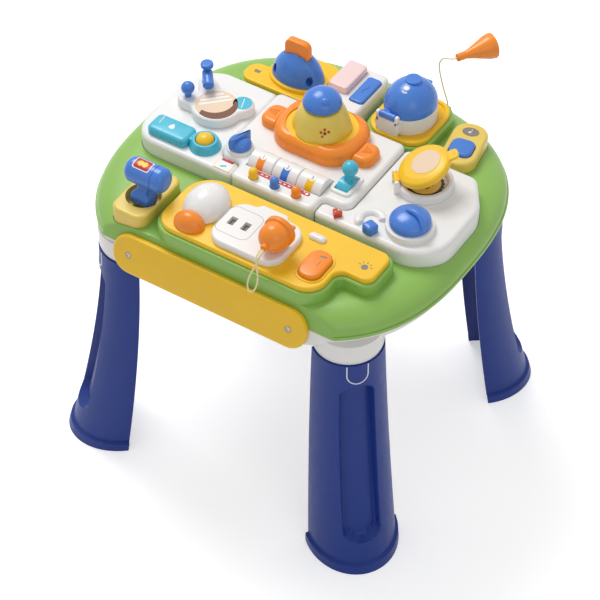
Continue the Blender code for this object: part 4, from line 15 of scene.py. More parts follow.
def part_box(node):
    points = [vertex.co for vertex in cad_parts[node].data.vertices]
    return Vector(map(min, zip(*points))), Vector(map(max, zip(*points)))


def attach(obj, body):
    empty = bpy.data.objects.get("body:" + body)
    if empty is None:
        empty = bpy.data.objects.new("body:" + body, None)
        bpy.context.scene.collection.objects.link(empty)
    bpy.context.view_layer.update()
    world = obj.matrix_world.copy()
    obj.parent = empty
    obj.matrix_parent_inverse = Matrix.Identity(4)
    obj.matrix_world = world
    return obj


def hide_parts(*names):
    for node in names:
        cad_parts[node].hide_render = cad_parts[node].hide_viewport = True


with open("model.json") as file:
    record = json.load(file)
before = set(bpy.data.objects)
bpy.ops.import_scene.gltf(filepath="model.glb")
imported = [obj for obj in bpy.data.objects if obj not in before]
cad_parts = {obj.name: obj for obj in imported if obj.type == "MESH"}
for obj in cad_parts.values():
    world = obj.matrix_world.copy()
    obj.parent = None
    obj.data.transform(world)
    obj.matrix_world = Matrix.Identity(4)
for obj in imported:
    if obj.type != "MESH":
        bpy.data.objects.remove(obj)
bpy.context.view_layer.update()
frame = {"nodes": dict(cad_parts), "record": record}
BODY_OF = {node: body for body, nodes in frame["record"]["behaviour"]["bodies"].items()
           for node in nodes}

# Fineness of the dressed surfaces
ARC = radians(10)
EDGE_STEPS = 5
TURN_STEPS = 64
BALL_ROWS = 16
SHARP = radians(38)
GAP = 0.0003

# Studio
WHITE = (1.0, 1.0, 1.0, 1.0)
SKY_STRENGTH, FLOOR_GLOW = 0.52, 0.42
FLOOR_RADIUS, FLOOR_COLOUR = 6.0, (0.93, 0.93, 0.93, 1.0)
KEY_LAMP = ((-0.9, 0.5, 2.1), (0.0, 0.0, 0.35), 0.9, 24.0)
FILL_LAMP = ((1.6, -1.2, 1.6), (0.0, 0.0, 0.3), 1.2, 4.5)
EYE = Vector((1.09211, -1.70645, 2.2342))
AIM = Vector((0.0107, -0.0225, 0.2))
SENSOR = 36.0
LENS = 138.2


def placed(name, data):
    item = bpy.data.objects.new(name, data)
    bpy.context.scene.collection.objects.link(item)
    return item


def make_camera():
    camera = placed("camera", bpy.data.cameras.new("camera"))
    camera.location = EYE
    camera.rotation_euler = (AIM - EYE).to_track_quat("-Z", "Y").to_euler()
    camera.data.sensor_width = SENSOR
    camera.data.lens = LENS
    camera.data.clip_end = 30.0
    bpy.context.scene.camera = camera


def lamp(name, place, aim, size, watts):
    data = bpy.data.lights.new(name, "AREA")
    data.size = size
    data.energy = watts
    item = placed(name, data)
    item.location = place
    item.rotation_euler = (Vector(aim) - Vector(place)).to_track_quat("-Z", "Y").to_euler()


def seen_as(tree, lit, shown):
    """One shader for light, another where the camera, a gloss or a glass looks straight on."""
    path = tree.nodes.new("ShaderNodeLightPath")
    seen = path.outputs["Is Camera Ray"]
    for ray in ("Is Glossy Ray", "Is Transmission Ray"):
        either = tree.nodes.new("ShaderNodeMath")
        either.operation = "MAXIMUM"
        tree.links.new(seen, either.inputs[0])
        tree.links.new(path.outputs[ray], either.inputs[1])
        seen = either.outputs[0]
    mix = tree.nodes.new("ShaderNodeMixShader")
    for source, socket in zip((seen, lit.outputs[0], shown.outputs[0]), mix.inputs):
        tree.links.new(source, socket)
    return mix.outputs[0]


def whiten_sky(tree, sky):
    """The world is plain white where it is looked at, and keeps its strength as light."""
    glow = tree.nodes.new("ShaderNodeBackground")
    glow.inputs["Color"].default_value = WHITE
    tree.links.new(seen_as(tree, sky, glow), tree.nodes["World Output"].inputs["Surface"])


def whiten_floor(tree, shader):
    """The floor glows a little where it is looked at, and keeps the object's shadow."""
    glows = []
    for strength in (0.0, FLOOR_GLOW):
        glows.append(tree.nodes.new("ShaderNodeEmission"))
        glows[-1].inputs["Strength"].default_value = strength
    both = tree.nodes.new("ShaderNodeAddShader")
    tree.links.new(shader.outputs[0], both.inputs[0])
    tree.links.new(seen_as(tree, *glows), both.inputs[1])
    tree.links.new(both.outputs[0], tree.nodes["Material Output"].inputs["Surface"])


def make_studio():
    world = bpy.data.worlds.new("studio")
    bpy.context.scene.world = world
    world.use_nodes = True
    sky = world.node_tree.nodes["Background"]
    sky.inputs["Color"].default_value = WHITE
    sky.inputs["Strength"].default_value = SKY_STRENGTH
    whiten_sky(world.node_tree, sky)
    lamp("key", *KEY_LAMP)
    lamp("fill", *FILL_LAMP)
    bpy.ops.mesh.primitive_circle_add(vertices=128, radius=FLOOR_RADIUS, fill_type="NGON")
    floor = bpy.context.active_object
    floor.name = "floor"
    paper = bpy.data.materials.new("paper")
    paper.use_nodes = True
    shader = paper.node_tree.nodes["Principled BSDF"]
    shader.inputs["Base Color"].default_value = FLOOR_COLOUR
    shader.inputs["Roughness"].default_value = 0.9
    whiten_floor(paper.node_tree, shader)
    floor.data.materials.append(paper)
    bpy.context.scene.view_settings.view_transform = "Standard"


# Materials
DRIFT_SCALE, WIPE_SCALE, GRAIN_SCALE = 22.0, 90.0, 1500.0
GLOSS_SPREAD = (0.8, 1.25)
GRAIN_STRENGTH = 0.35


def noise(tree, place, scale, detail=2.0):
    cloud = tree.nodes.new("ShaderNodeTexNoise")
    cloud.inputs["Scale"].default_value = scale
    cloud.inputs["Detail"].default_value = detail
    tree.links.new(place.outputs["Object"], cloud.inputs["Vector"])
    return cloud.outputs["Fac"]


def plastic(name, colour, rough=0.3, grain=0.00002, drift=0.03, **sockets):
    """Moulded plastic: a faint drift of colour, uneven gloss and a fine moulded grain."""
    made = bpy.data.materials.new(name)
    made.use_nodes = True
    tree = made.node_tree
    nodes, links = tree.nodes, tree.links
    shader = nodes["Principled BSDF"]
    for socket, value in sockets.items():
        shader.inputs[socket.replace("_", " ")].default_value = value
    place = nodes.new("ShaderNodeTexCoord")
    ramp = nodes.new("ShaderNodeValToRGB")
    for stop, position, change in zip(ramp.color_ramp.elements, (0.3, 0.7), (-drift, drift)):
        stop.position = position
        stop.color = (*[min(1.0, channel * (1 + change)) for channel in colour], 1.0)
    links.new(noise(tree, place, DRIFT_SCALE, 3.0), ramp.inputs["Fac"])
    links.new(ramp.outputs["Color"], shader.inputs["Base Color"])
    span = nodes.new("ShaderNodeMapRange")
    for socket, share in zip(("To Min", "To Max"), GLOSS_SPREAD):
        span.inputs[socket].default_value = rough * share
    links.new(noise(tree, place, WIPE_SCALE), span.inputs["Value"])
    links.new(span.outputs["Result"], shader.inputs["Roughness"])
    bump = nodes.new("ShaderNodeBump")
    bump.inputs["Strength"].default_value = GRAIN_STRENGTH
    bump.inputs["Distance"].default_value = grain
    links.new(noise(tree, place, GRAIN_SCALE), bump.inputs["Height"])
    links.new(bump.outputs["Normal"], shader.inputs["Normal"])
    made.diffuse_color = (*colour, 1.0)
    return made


LOOK = {
    "green": plastic("green_plastic", (0.262, 0.491, 0.089), 0.33),
    "white": plastic("white_plastic", (0.845, 0.835, 0.815), 0.3, drift=0.012),
    "yellow": plastic("yellow_plastic", (0.93, 0.56, 0.018), 0.3, Specular_IOR_Level=0.4),
    "straw": plastic("straw_plastic", (0.82, 0.6, 0.12), 0.32),
    "navy": plastic("navy_plastic", (0.009, 0.036, 0.24), 0.4, Specular_IOR_Level=0.3),
    "blue": plastic("blue_plastic", (0.055, 0.205, 0.66), 0.25),
    "cyan": plastic("cyan_plastic", (0.06, 0.49, 0.66), 0.27),
    "orange": plastic("orange_plastic", (0.95, 0.27, 0.012), 0.27),
    "red": plastic("red_plastic", (0.56, 0.055, 0.018), 0.28),
    "pink": plastic("pink_plastic", (0.88, 0.66, 0.64), 0.32, drift=0.015),
    "lemon": plastic("lemon_plastic", (0.8, 0.62, 0.105), 0.3),
    "cream": plastic("cream_cord", (0.84, 0.74, 0.42), 0.5, grain=0.00006),
    "bulb": plastic("bulb_milky", (0.87, 0.865, 0.85), 0.2, drift=0.01,
                    Subsurface_Weight=0.3, Subsurface_Scale=0.01),
    "steel": plastic("screw_steel", (0.42, 0.42, 0.41), 0.35, Metallic=1.0),
    # grey_print_and_shade also serves as painted shade on the floors of the socket slots
    "grey": plastic("grey_print_and_shade", (0.22, 0.2, 0.165), 0.45),
    "black": plastic("black_plastic", (0.03, 0.028, 0.025), 0.4),
    "label": plastic("label_red", (0.5, 0.012, 0.014), 0.4),
    "paper": plastic("label_white", (0.86, 0.855, 0.83), 0.45, drift=0.01),
    "skin": plastic("label_beige", (0.8, 0.6, 0.42), 0.45),
    "brown": plastic("label_brown", (0.16, 0.045, 0.015), 0.45),
    # orange_shade: a darker copy of the orange, painted shade along the raft keys' moulded ridges
    "painted_orange_shade": plastic("orange_shade", (0.7, 0.165, 0.008), 0.4),
    # blue_shade: a darker copy of the blue, painted shade along the blue key's scribed mark
    "painted_blue_shade": plastic("blue_shade", (0.016, 0.055, 0.26), 0.4),
    # white_shade: a darker copy of the white, painted shade standing in for the socket's engraved
    # groove
    "painted_white_shade": plastic("white_shade", (0.44, 0.43, 0.41), 0.5),
}


# Outlines and solids

def soften(points, closed=True):
    """Round the corners (x, y, radius) of an outline or a profile into arcs."""
    line = []
    count = len(points)
    for index, (x, y, radius) in enumerate(points):
        if radius <= 0 or not closed and index in (0, count - 1):
            line.append((x, y))
            continue
        here = Vector((x, y))
        before = (Vector(points[index - 1][:2]) - here).normalized()
        after = (Vector(points[(index + 1) % count][:2]) - here).normalized()
        inner = acos(max(-1.0, min(1.0, before.dot(after))))
        centre = here + (before + after).normalized() * (radius / sin(inner / 2))
        start = here + before * (radius / tan(inner / 2)) - centre
        bend = pi - inner
        side = -1.0 if before.cross(after) > 0 else 1.0
        steps = max(2, ceil(bend / ARC))
        for step in range(steps + 1):
            line.append(tuple(centre + Matrix.Rotation(side * bend * step / steps, 2) @ start))
    return line


def rect(x, y, width, depth, radius, turn=0.0):
    a, b = width / 2, depth / 2
    flat = soften([(-a, -b, radius), (a, -b, radius), (a, b, radius), (-a, b, radius)])
    spin = Matrix.Rotation(turn, 2)
    return [tuple(spin @ Vector(point) + Vector((x, y))) for point in flat]


def turns(count):
    """The angles of one full turn."""
    return [2 * pi * step / count for step in range(count)]


def oval(x, y, a, b, count=TURN_STEPS):
    return [(x + a * cos(turn), y + b * sin(turn)) for turn in turns(count)]


def offset(outline, distance):
    """The outline moved outwards, or inwards where the distance is negative."""
    moved = []
    count = len(outline)
    for index in range(count):
        here = Vector(outline[index])
        before = (here - Vector(outline[index - 1])).normalized()
        after = (Vector(outline[(index + 1) % count]) - here).normalized()
        normal = Vector((before.y + after.y, -before.x - after.x)).normalized()
        moved.append(tuple(here + normal * distance / normal.dot(Vector((after.y, -after.x)))))
    return moved


def level(outline, z):
    return [(x, y, z) for x, y in outline]


def solid(name, rings, caps=True):
    """A skin through rings of equal count, closed at both ends."""
    work = bmesh.new()
    rows = [[work.verts.new(point) for point in ring] for ring in rings]
    count = len(rings[0])
    for low, high in zip(rows, rows[1:]):
        for index in range(count):
            after = (index + 1) % count
            work.faces.new((low[index], low[after], high[after], high[index]))
    if caps:
        work.faces.new(rows[0][::-1])
        work.faces.new(rows[-1])
    bmesh.ops.remove_doubles(work, verts=work.verts, dist=0.000002)
    bmesh.ops.recalc_face_normals(work, faces=work.faces)
    return linked(name, work)


def linked(name, work):
    data = bpy.data.meshes.new(name)
    work.to_mesh(data)
    work.free()
    return placed(name, data)


def prism(name, outline, low, high, top=0.0, foot=0.0, crown=0.0):
    """An outline raised between two levels, its rims rounded and its top crowned."""
    rings = []
    quarter = [pi / 2 * step / EDGE_STEPS for step in range(EDGE_STEPS + 1)]
    if foot > 0:
        rings += [level(offset(outline, -foot * (1 - sin(a))), low + foot * (1 - cos(a)))
                  for a in quarter]
    else:
        rings.append(level(outline, low))
    if top > 0:
        for a in quarter:
            inset = top * (1 - cos(a))
            flat = offset(outline, -inset) if inset > 0 else outline
            rings.append(level(flat, high - top * (1 - sin(a))))
    else:
        rings.append(level(outline, high))
    if crown > 0:
        edge = rings[-1]
        x = sum(point[0] for point in edge) / len(edge)
        y = sum(point[1] for point in edge) / len(edge)
        for share in (0.8, 0.55, 0.25, 0.0):
            rings.append([(x + (point[0] - x) * share, y + (point[1] - y) * share,
                           high + crown * (1 - share * share)) for point in edge])
    return solid(name, rings)


def lathe(name, profile, at=(0.0, 0.0, 0.0), squeeze=1.0, count=TURN_STEPS):
    """A profile of (radius, height) points turned about Z, and squeezed along Y."""
    rings = [[(radius * cos(a), radius * squeeze * sin(a), z) for a in turns(count)]
             for radius, z in profile]
    item = solid(name, rings)
    item.location = at
    return item


def arc(across, up, start, end, steps, x=0.0, y=0.0):
    """Points along an ellipse about (x, y), from one angle in degrees to another."""
    return [(x + across * cos(a), y + up * sin(a)) for a in
            [radians(start + (end - start) * step / steps) for step in range(steps + 1)]]


def turned(name, points, at=(0.0, 0.0, 0.0), **facts):
    """A lathe piece whose profile points (radius, height, rounding) get round corners."""
    return lathe(name, soften(points, closed=False), at, **facts)


def rod(radius, low, high, at=(0.0, 0.0, 0.0), count=TURN_STEPS):
    """A plain cylinder, for wells and troughs."""
    return lathe("rod", [(0.0, high), (radius, high), (radius, low), (0.0, low)], at, count=count)


def move(x, y, z):
    return Matrix.Translation((x, y, z))


def roll(degrees, axis):
    return Matrix.Rotation(radians(degrees), 4, axis)


def put(item, place):
    item.matrix_world = place
    return item


def fill(name, node, outline, crown=0.0, **rims):
    """An outline raised from the lowest to the highest level of a node."""
    low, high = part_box(node)
    return prism(name, outline, low.z, high.z - crown, crown=crown, **rims)


def barrel(name, radius, half, edge, count=TURN_STEPS):
    """A cylinder about its middle, its rims softened."""
    return turned(name, [(0.0, half, 0), (radius, half, edge), (radius, -half, edge),
                         (0.0, -half, 0)], count=count)


def dome(name, radius, rise, at, steps=BALL_ROWS, skirt=0.0, **facts):
    """A quarter ellipse turned about Z, on a straight skirt where asked."""
    foot = [(radius, 0.0), (0.0, 0.0)] if skirt else [(0.0, 0.0)]
    return lathe(name, arc(radius, rise, 90, 0, steps, y=skirt) + foot, at, **facts)


def ear_outline(radius, foot):
    """The side of a hinge's ear: a round head on straight flanks."""
    return [(-radius, foot), (radius, foot)] + arc(radius, radius, 0, 180, 16)


def evaluated(item):
    bpy.context.view_layer.update()
    ready = item.evaluated_get(bpy.context.evaluated_depsgraph_get())
    return bpy.data.meshes.new_from_object(ready)


def bake(item):
    """Write an object's place and modifiers into its mesh."""
    data = evaluated(item)
    data.transform(item.matrix_world)
    item.modifiers.clear()
    item.data = data
    item.matrix_world = Matrix.Identity(4)
    return item


def merge(item, *others):
    """One object from several meshes, without a Boolean."""
    work = bmesh.new()
    for other in (item, *others):
        bake(other)
        work.from_mesh(other.data)
    work.to_mesh(item.data)
    work.free()
    for other in others:
        bpy.data.objects.remove(other)
    return item


def boolean(item, operation, *tools):
    bake(item)
    for tool in tools:
        bake(tool)
        step = item.modifiers.new("step", "BOOLEAN")
        step.operation = operation
        step.solver = "EXACT"
        step.object = tool
    bake(item)
    for tool in tools:
        bpy.data.objects.remove(tool)
    return item


def cut(item, *tools):
    return boolean(item, "DIFFERENCE", *tools)


def join(item, *tools):
    return boolean(item, "UNION", *tools)


def wear(item, look, *nodes, body=None):
    """Give a piece its material, its smooth shading, its body and the solids it replaces."""
    bake(item)
    item.data.materials.clear()
    item.data.materials.append(LOOK[look])
    item.data.shade_smooth()
    item.data.set_sharp_from_angle(angle=SHARP)
    soft = item.modifiers.new("Weighted", "WEIGHTED_NORMAL")
    soft.keep_sharp = True
    soft.weight = 80
    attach(item, body or BODY_OF[nodes[0]])
    if nodes:
        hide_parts(*nodes)
    return item


def aim(item, start, along):
    """Lay a piece made along +Z in another direction from a point."""
    item.location = start
    item.rotation_mode = "QUATERNION"
    item.rotation_quaternion = Vector(along).to_track_quat("Z", "Y")
    return item


make_camera()
make_studio()

# Levels
DECK = 0.383
RIM = 0.36
PANEL = 0.405
PANEL_DEPTH = 0.034
BLOCK = 0.41
PLINTH = 0.3985
PLATE = 0.405
BACK_PLINTH = 0.3955
BACK_PLATE = 0.4008

# Cords


def through(points, count):
    """Evenly spaced points on one smooth curve through a route's points."""
    knots = [Vector(point) for point in points]
    knots = [2 * knots[0] - knots[1]] + knots + [2 * knots[-1] - knots[-2]]
    fine = []
    for i in range(1, len(knots) - 2):
        a, b, c, d = knots[i - 1:i + 3]
        for step in range(20):
            t = step / 20
            fine.append(0.5 * (2 * b + (c - a) * t + (2 * a - 5 * b + 4 * c - d) * t * t
                               + (3 * b - a - 3 * c + d) * t * t * t))
    fine.append(knots[-2])
    lengths = [0.0]
    for first, second in zip(fine, fine[1:]):
        lengths.append(lengths[-1] + (second - first).length)
    even, index = [], 0
    for step in range(count):
        target = lengths[-1] * step / (count - 1)
        while index < len(fine) - 2 and lengths[index + 1] < target:
            index += 1
        span = lengths[index + 1] - lengths[index]
        even.append(fine[index].lerp(fine[index + 1], (target - lengths[index]) / span))
    return even


def wire(name, points, radius, look, resolution):
    """A round wire through points, its ends closed."""
    curve = bpy.data.curves.new(name, "CURVE")
    curve.dimensions = "3D"
    curve.bevel_depth = radius
    curve.bevel_resolution = resolution
    curve.use_fill_caps = True
    spline = curve.splines.new("POLY")
    spline.points.add(len(points) - 1)
    for point, place in zip(spline.points, points):
        point.co = (*place, 1.0)
    curve.materials.append(LOOK[look])
    return placed(name, curve)


def make_cord(name, points, radius, look, node, **facts):
    item = wire(name, points, radius, look, 4)
    item.data.splines[0].use_smooth = True
    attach(item, BODY_OF[node])
    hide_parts(node)
    return item


PLUG_X, PLUG_REAR, PLUG_AXIS = 0.0565, -0.166, 0.4336
LOOP_RADIUS = 0.0011
LOOP_POINTS = 40
LOOP_ROUTE = ((0.0016, 0.0, 0.0), (0.0012, -0.006, -0.004), (-0.0006, -0.012, -0.014),
              (-0.006, -0.0165, -0.03), (-0.0075, -0.02, -0.043), (-0.002, -0.0235, -0.048),
              (0.004, -0.0215, -0.042), (0.005, -0.0175, -0.029), (0.0024, -0.015, -0.014),
              (-0.0012, -0.01, -0.004), (-0.0018, 0.0, 0.0))
PLUG_TAIL = 0.005
TETHER_RADIUS = 0.0009
TETHER_POINTS = 36
TETHER_ROUTE = ((0.082, 0.2015, 0.3715), (0.082, 0.2015, 0.386), (0.0815, 0.2013, 0.394),
                (0.0745, 0.1998, 0.418), (0.0655, 0.205, 0.44), (0.07, 0.2035, 0.4545),
                (0.0785, 0.2012, 0.4605), (0.0848, 0.205, 0.46), (0.087, 0.209, 0.46))
SCOOP_AIM = Vector((0.485, 0.875, 0.0)).normalized()
SCOOP_LENGTH = 0.05
SCOOP_MOUTH = 0.0165


def make_scoop():
    r, l = SCOOP_MOUTH, SCOOP_LENGTH
    scoop = turned("scoop_horn", [
        (0.0, 0.0, 0), (0.3 * r, 0.0, 0.0008), (0.3 * r, 0.24 * l, 0.006),
        (0.46 * r, 0.42 * l, 0.012), (0.92 * r, 0.84 * l, 0.02), (r, l, 0.0006),
        (0.86 * r, 0.99 * l, 0.001), (0.78 * r, 0.84 * l, 0.01), (0.28 * r, 0.45 * l, 0.004),
        (0.0, 0.42 * l, 0)])
    aim(scoop, Vector(TETHER_ROUTE[-1]) + SCOOP_AIM * GAP, SCOOP_AIM)
    return wear(scoop, "orange", "scoop")


def make_cords(plug, scoop):
    tail = Vector((PLUG_X, PLUG_REAR - PLUG_TAIL - LOOP_RADIUS, PLUG_AXIS))
    route = [tail + Vector(step) for step in LOOP_ROUTE]
    make_cord("plug_lanyard", through(route, LOOP_POINTS), LOOP_RADIUS, "cream", "plug_loop",
              far_end="object", stiffness="limp", lay="hanging", with_pieces=[plug])
    make_cord("scoop_wire", through(TETHER_ROUTE, TETHER_POINTS), TETHER_RADIUS, "cream",
              "scoop_tether", far_end="tool", stiffness="stiff", lay="loose", with_pieces=[scoop])


# Deck and tray
SHELL_WALL = 0.0026
RIM_HALF_WIDTH, RIM_HALF_DEPTH, RIM_POWER = 0.233, 0.2226, 2.63
FRONT_DEPTH, FRONT_LEAN = 0.1795, radians(13)
LIP_HEIGHT, LIP_STEP, DECK_RISE, DOME_WIDTH = 0.0045, 0.0018, 0.023, 0.036
TRAY_INSET, TRAY_DEPTH = 0.009, 0.025
LEG_BEARING = atan2(0.1595, 0.1735)
BEARINGS = (LEG_BEARING, pi - LEG_BEARING, pi + LEG_BEARING, -LEG_BEARING)
SOCKET_REACH, SOCKET_RADIUS, SLEEVE_WALL = 0.205, 0.0425, 0.0028
TRAY_TOP = RIM - LIP_HEIGHT - GAP
TRAY_FLOOR = TRAY_TOP - TRAY_DEPTH
SOCKET_MOUTH = TRAY_FLOOR - 0.018
RIM_POINTS = 240


def rim_ring(inset, z, front_inset=0.0):
    """One level of the superellipse plan, its front cut along the leaning fascia."""
    front = -(FRONT_DEPTH + (DECK - z) * tan(FRONT_LEAN)) + front_inset
    ring = []
    for index in range(RIM_POINTS):
        angle = 2 * pi * (index + 0.5) / RIM_POINTS
        across, along = cos(angle), sin(angle)
        x = (RIM_HALF_WIDTH - inset) * abs(across) ** (2 / RIM_POWER) * (1 if across > 0 else -1)
        y = (RIM_HALF_DEPTH - inset) * abs(along) ** (2 / RIM_POWER) * (1 if along > 0 else -1)
        ring.append((x, max(y, front), z))
    return ring


def living_outline():
    return soften([(-0.093, -0.1765, 0.026), (0.1285, -0.1765, 0.026), (0.1285, -0.127, 0.0125),
                   (0.171, -0.127, 0.0125), (0.171, -0.0755, 0.0125), (-0.093, -0.0755, 0.036)])


def toaster_outline():
    return soften([(-0.157, 0.0985, 0.015), (-0.053, 0.0985, 0.015), (-0.053, 0.178, 0.015),
                   (-0.129, 0.178, 0.015), (-0.129, 0.133, 0.0075), (-0.157, 0.133, 0.015)])


COOKER = Vector((0.0605, 0.1475, 0.0))
COOKER_HALF = (0.032, 0.0355)
POT_INSIDE, POT_RISE, COOKER_PIN = 0.0292, 0.02, 0.0042


def cooker_outline():
    return rect(COOKER.x, COOKER.y, 0.08, 0.092, 0.026)


MUSIC = Vector((0.1395, 0.1425))
MUSIC_TURN = radians(10)
TOGGLE = Vector((-0.131, -0.1355))


def left_outline():
    return soften([(-0.205, -0.064, 0.034), (-0.0603, -0.064, 0.0077), (-0.0603, -0.0403, 0.0077),
                   (-0.0923, -0.0403, 0.0123), (-0.0923, 0.091, 0.008), (-0.184, 0.091, 0.034),
                   (-0.205, 0.0455, 0.034)])


def right_outline():
    return soften([(0.0543, -0.064, 0.0077), (0.216, -0.064, 0.048), (0.216, 0.0455, 0.048),
                   (0.186, 0.091, 0.016), (0.0893, 0.091, 0.008), (0.0893, -0.0403, 0.0123),
                   (0.0543, -0.0403, 0.0077)])


def centre_outline():
    return soften([(-0.06, -0.0665, 0.008), (0.054, -0.0665, 0.008), (0.054, -0.04, 0.008),
                   (0.089, -0.04, 0.012), (0.089, 0.091, 0.008), (0.0095, 0.091, 0.004),
                   (0.0095, 0.188, 0.01), (-0.05, 0.188, 0.01), (-0.05, 0.091, 0.004),
                   (-0.092, 0.091, 0.008), (-0.092, -0.04, 0.012), (-0.06, -0.04, 0.008)])


def toggle_outline():
    return rect(TOGGLE.x, TOGGLE.y, 0.048, 0.086, 0.014)


def music_outline():
    return rect(MUSIC.x, MUSIC.y, 0.044, 0.078, 0.02, MUSIC_TURN)


def make_deck():
    wall = SHELL_WALL
    rings = [rim_ring(LIP_STEP + wall, RIM - LIP_HEIGHT, wall), rim_ring(0.0006, RIM - LIP_HEIGHT),
             rim_ring(0.0, RIM - LIP_HEIGHT + 0.0008), rim_ring(0.0, RIM - 0.001),
             rim_ring(0.0006, RIM - 0.0002), rim_ring(LIP_STEP, RIM)]
    width, rise = DOME_WIDTH - LIP_STEP, DECK_RISE - LIP_STEP / 2
    start = RIM + LIP_STEP / 2
    rings += [rim_ring(inset, z) for inset, z in
              arc(-width, rise, 0, 90, 24, LIP_STEP + width, start)]
    inner = [rim_ring(inset, z, wall) for inset, z in
             arc(-width, rise - wall, 90, 0, 12, LIP_STEP + wall + width, start)]
    deck = solid("deck_shell", inner + rings)
    steps = [prism("step", offset(outline, 0.0045), DECK - 0.012, high, top=0.003)
             for outline, high in ((living_outline(), PLINTH), (toaster_outline(), BACK_PLINTH),
                                   (cooker_outline(), BACK_PLINTH))]
    boss = turned("boss", [(0.0, 0.384, 0), (0.0048, 0.384, 0.001), (0.0048, 0.3725, 0),
                           (0.0, 0.3725, 0)], (*TETHER_ROUTE[0][:2], 0.0))
    join(deck, *steps, boss)
    cut(deck, *[prism("hole", offset(outline, 0.0006), DECK - 0.06, DECK + 0.03)
                for outline in (left_outline(), centre_outline(), right_outline(),
                                toggle_outline(), music_outline())])
    wear(deck, "green", "top_deck")


def make_tray():
    edge, wall, bend = TRAY_INSET + LIP_STEP, SHELL_WALL, 0.01
    rings = [rim_ring(TRAY_INSET + wall, TRAY_TOP, wall), rim_ring(LIP_STEP, TRAY_TOP, GAP),
             rim_ring(LIP_STEP, TRAY_TOP - wall, GAP),
             rim_ring(TRAY_INSET, TRAY_TOP - wall - GAP, GAP)]
    rings += [rim_ring(edge + inset, TRAY_FLOOR + bend - drop, GAP)
              for inset, drop in arc(-bend, bend, 0, 90, 8, x=bend)]
    rings += [rim_ring(edge + bend, TRAY_FLOOR + wall, wall),
              rim_ring(edge + wall, TRAY_FLOOR + bend, wall), rings[0]]
    tray = solid("tray_shell", rings, caps=False)
    floor = solid("floor_plate", [rim_ring(edge + 0.009, TRAY_FLOOR, GAP),
                                  rim_ring(edge + 0.009, TRAY_FLOOR + wall, wall)])
    slots = [prism("slot", rect(0.11, 0.02 + shift * 0.008, 0.036, 0.003, 0.0014),
                   TRAY_FLOOR - 0.01, TRAY_FLOOR + 0.01) for shift in (-2, -1, 0, 1, 2)]
    cut(floor, *slots, prism("recess", rect(-0.08, 0.02, 0.0928, 0.0608, 0.004),
                             TRAY_FLOOR - 0.01, TRAY_FLOOR + 0.0018))
    inside, top = SOCKET_RADIUS - SLEEVE_WALL, TRAY_FLOOR + 0.012
    sleeve = [(inside, top, 0), (SOCKET_RADIUS, top, 0),
              (SOCKET_RADIUS, SOCKET_MOUTH + 0.006, 0.003),
              (SOCKET_RADIUS - 0.0014, SOCKET_MOUTH + 0.0004, 0.0006),
              (inside, SOCKET_MOUTH, 0.0004), (inside, top, 0)]
    merge(tray, floor, *[turned("sleeve", sleeve, (SOCKET_REACH * cos(bearing),
                                                   SOCKET_REACH * sin(bearing), 0.0))
                         for bearing in BEARINGS])
    wear(tray, "white", "base_tray")


# Legs
FOOT_REACH, FOOT_HALF, FOOT_DEEP = 0.2357, 0.0548, 0.0665
LEG_TOP_RADIUS = SOCKET_RADIUS - SLEEVE_WALL - 3 * GAP
LEG_TOP = TRAY_FLOOR + 0.015 - SLEEVE_WALL - GAP
GROOVE_LOW, GROOVE_HIGH, GROOVE_HALF, GROOVE_DEPTH = 0.058, 0.262, 0.0182, 0.012
LEG_COLLAR_HALF = 0.0432
LEG_SWEEP = 1.6
LEG_WALL = 0.003
TOE_OUT, TOE_TOP, TOE_FADE = 0.0035, 0.0125, 0.0012
GROOVE_END, GROOVE_WIDENING = 0.014, 0.004
BANK_EDGE, BANK_SPAN = 1.14, 0.24
LEG_ROWS, LEG_COLUMNS = 130, 96
LATCH_HALF, LATCH_DROP, LATCH_WIRE = 0.0126, 0.015, 0.0008


def leg_point(share, z, inset=0.0):
    """A point of a leg's outer skin at a share of its half width and a height."""
    rise = min(1.0, z / (SOCKET_MOUTH - GAP))
    sweep = 1 - (1 - rise) ** LEG_SWEEP
    head = LEG_COLLAR_HALF if z < SOCKET_MOUTH - GAP else LEG_TOP_RADIUS
    reach = FOOT_REACH + (SOCKET_REACH - FOOT_REACH) * sweep
    half = FOOT_HALF + (head - FOOT_HALF) * rise
    deep = FOOT_DEEP + (head - FOOT_DEEP) * sweep
    foot = TOE_OUT * max(0.0, min(1.0, (TOE_TOP - z) / TOE_FADE))
    out = sqrt(max(0.0, 1 - share * share))
    across = (half + foot - inset) * share
    run = max(0.0, GROOVE_LOW - z, z - GROOVE_HIGH)
    width = GROOVE_HALF + GROOVE_WIDENING * (1 - rise)
    away = sqrt((across / width) ** 2 + (run / GROOVE_END) ** 2)
    bank = max(0.0, min(1.0, (BANK_EDGE - away) / BANK_SPAN))
    dip = GROOVE_DEPTH * bank * bank * (3 - 2 * bank)
    return (reach + (deep + foot - inset) * out - dip, across, z)


def make_legs():
    names = ("leg_back_right", "leg_back_left", "leg_front_left", "leg_front_right")
    angles = [pi * (step / LEG_COLUMNS - 0.5) for step in range(LEG_COLUMNS + 1)]
    levels = [LEG_TOP * step / LEG_ROWS for step in range(LEG_ROWS + 1)]
    levels += [0.0112, 0.0126, SOCKET_MOUTH - GAP - 0.0004, SOCKET_MOUTH - GAP]
    for name, bearing in zip(names, BEARINGS):
        rings = []
        for z in sorted(levels):
            outer = [leg_point(sin(a), z) for a in angles]
            inner = [leg_point(sin(a), z, LEG_WALL) for a in angles]
            rings.append(outer + inner[::-1])
        leg = solid(name + "_shell", rings)
        leg.rotation_euler = (0.0, 0.0, bearing)
        wear(leg, "navy", name)
        latch_highlight(name, bearing)


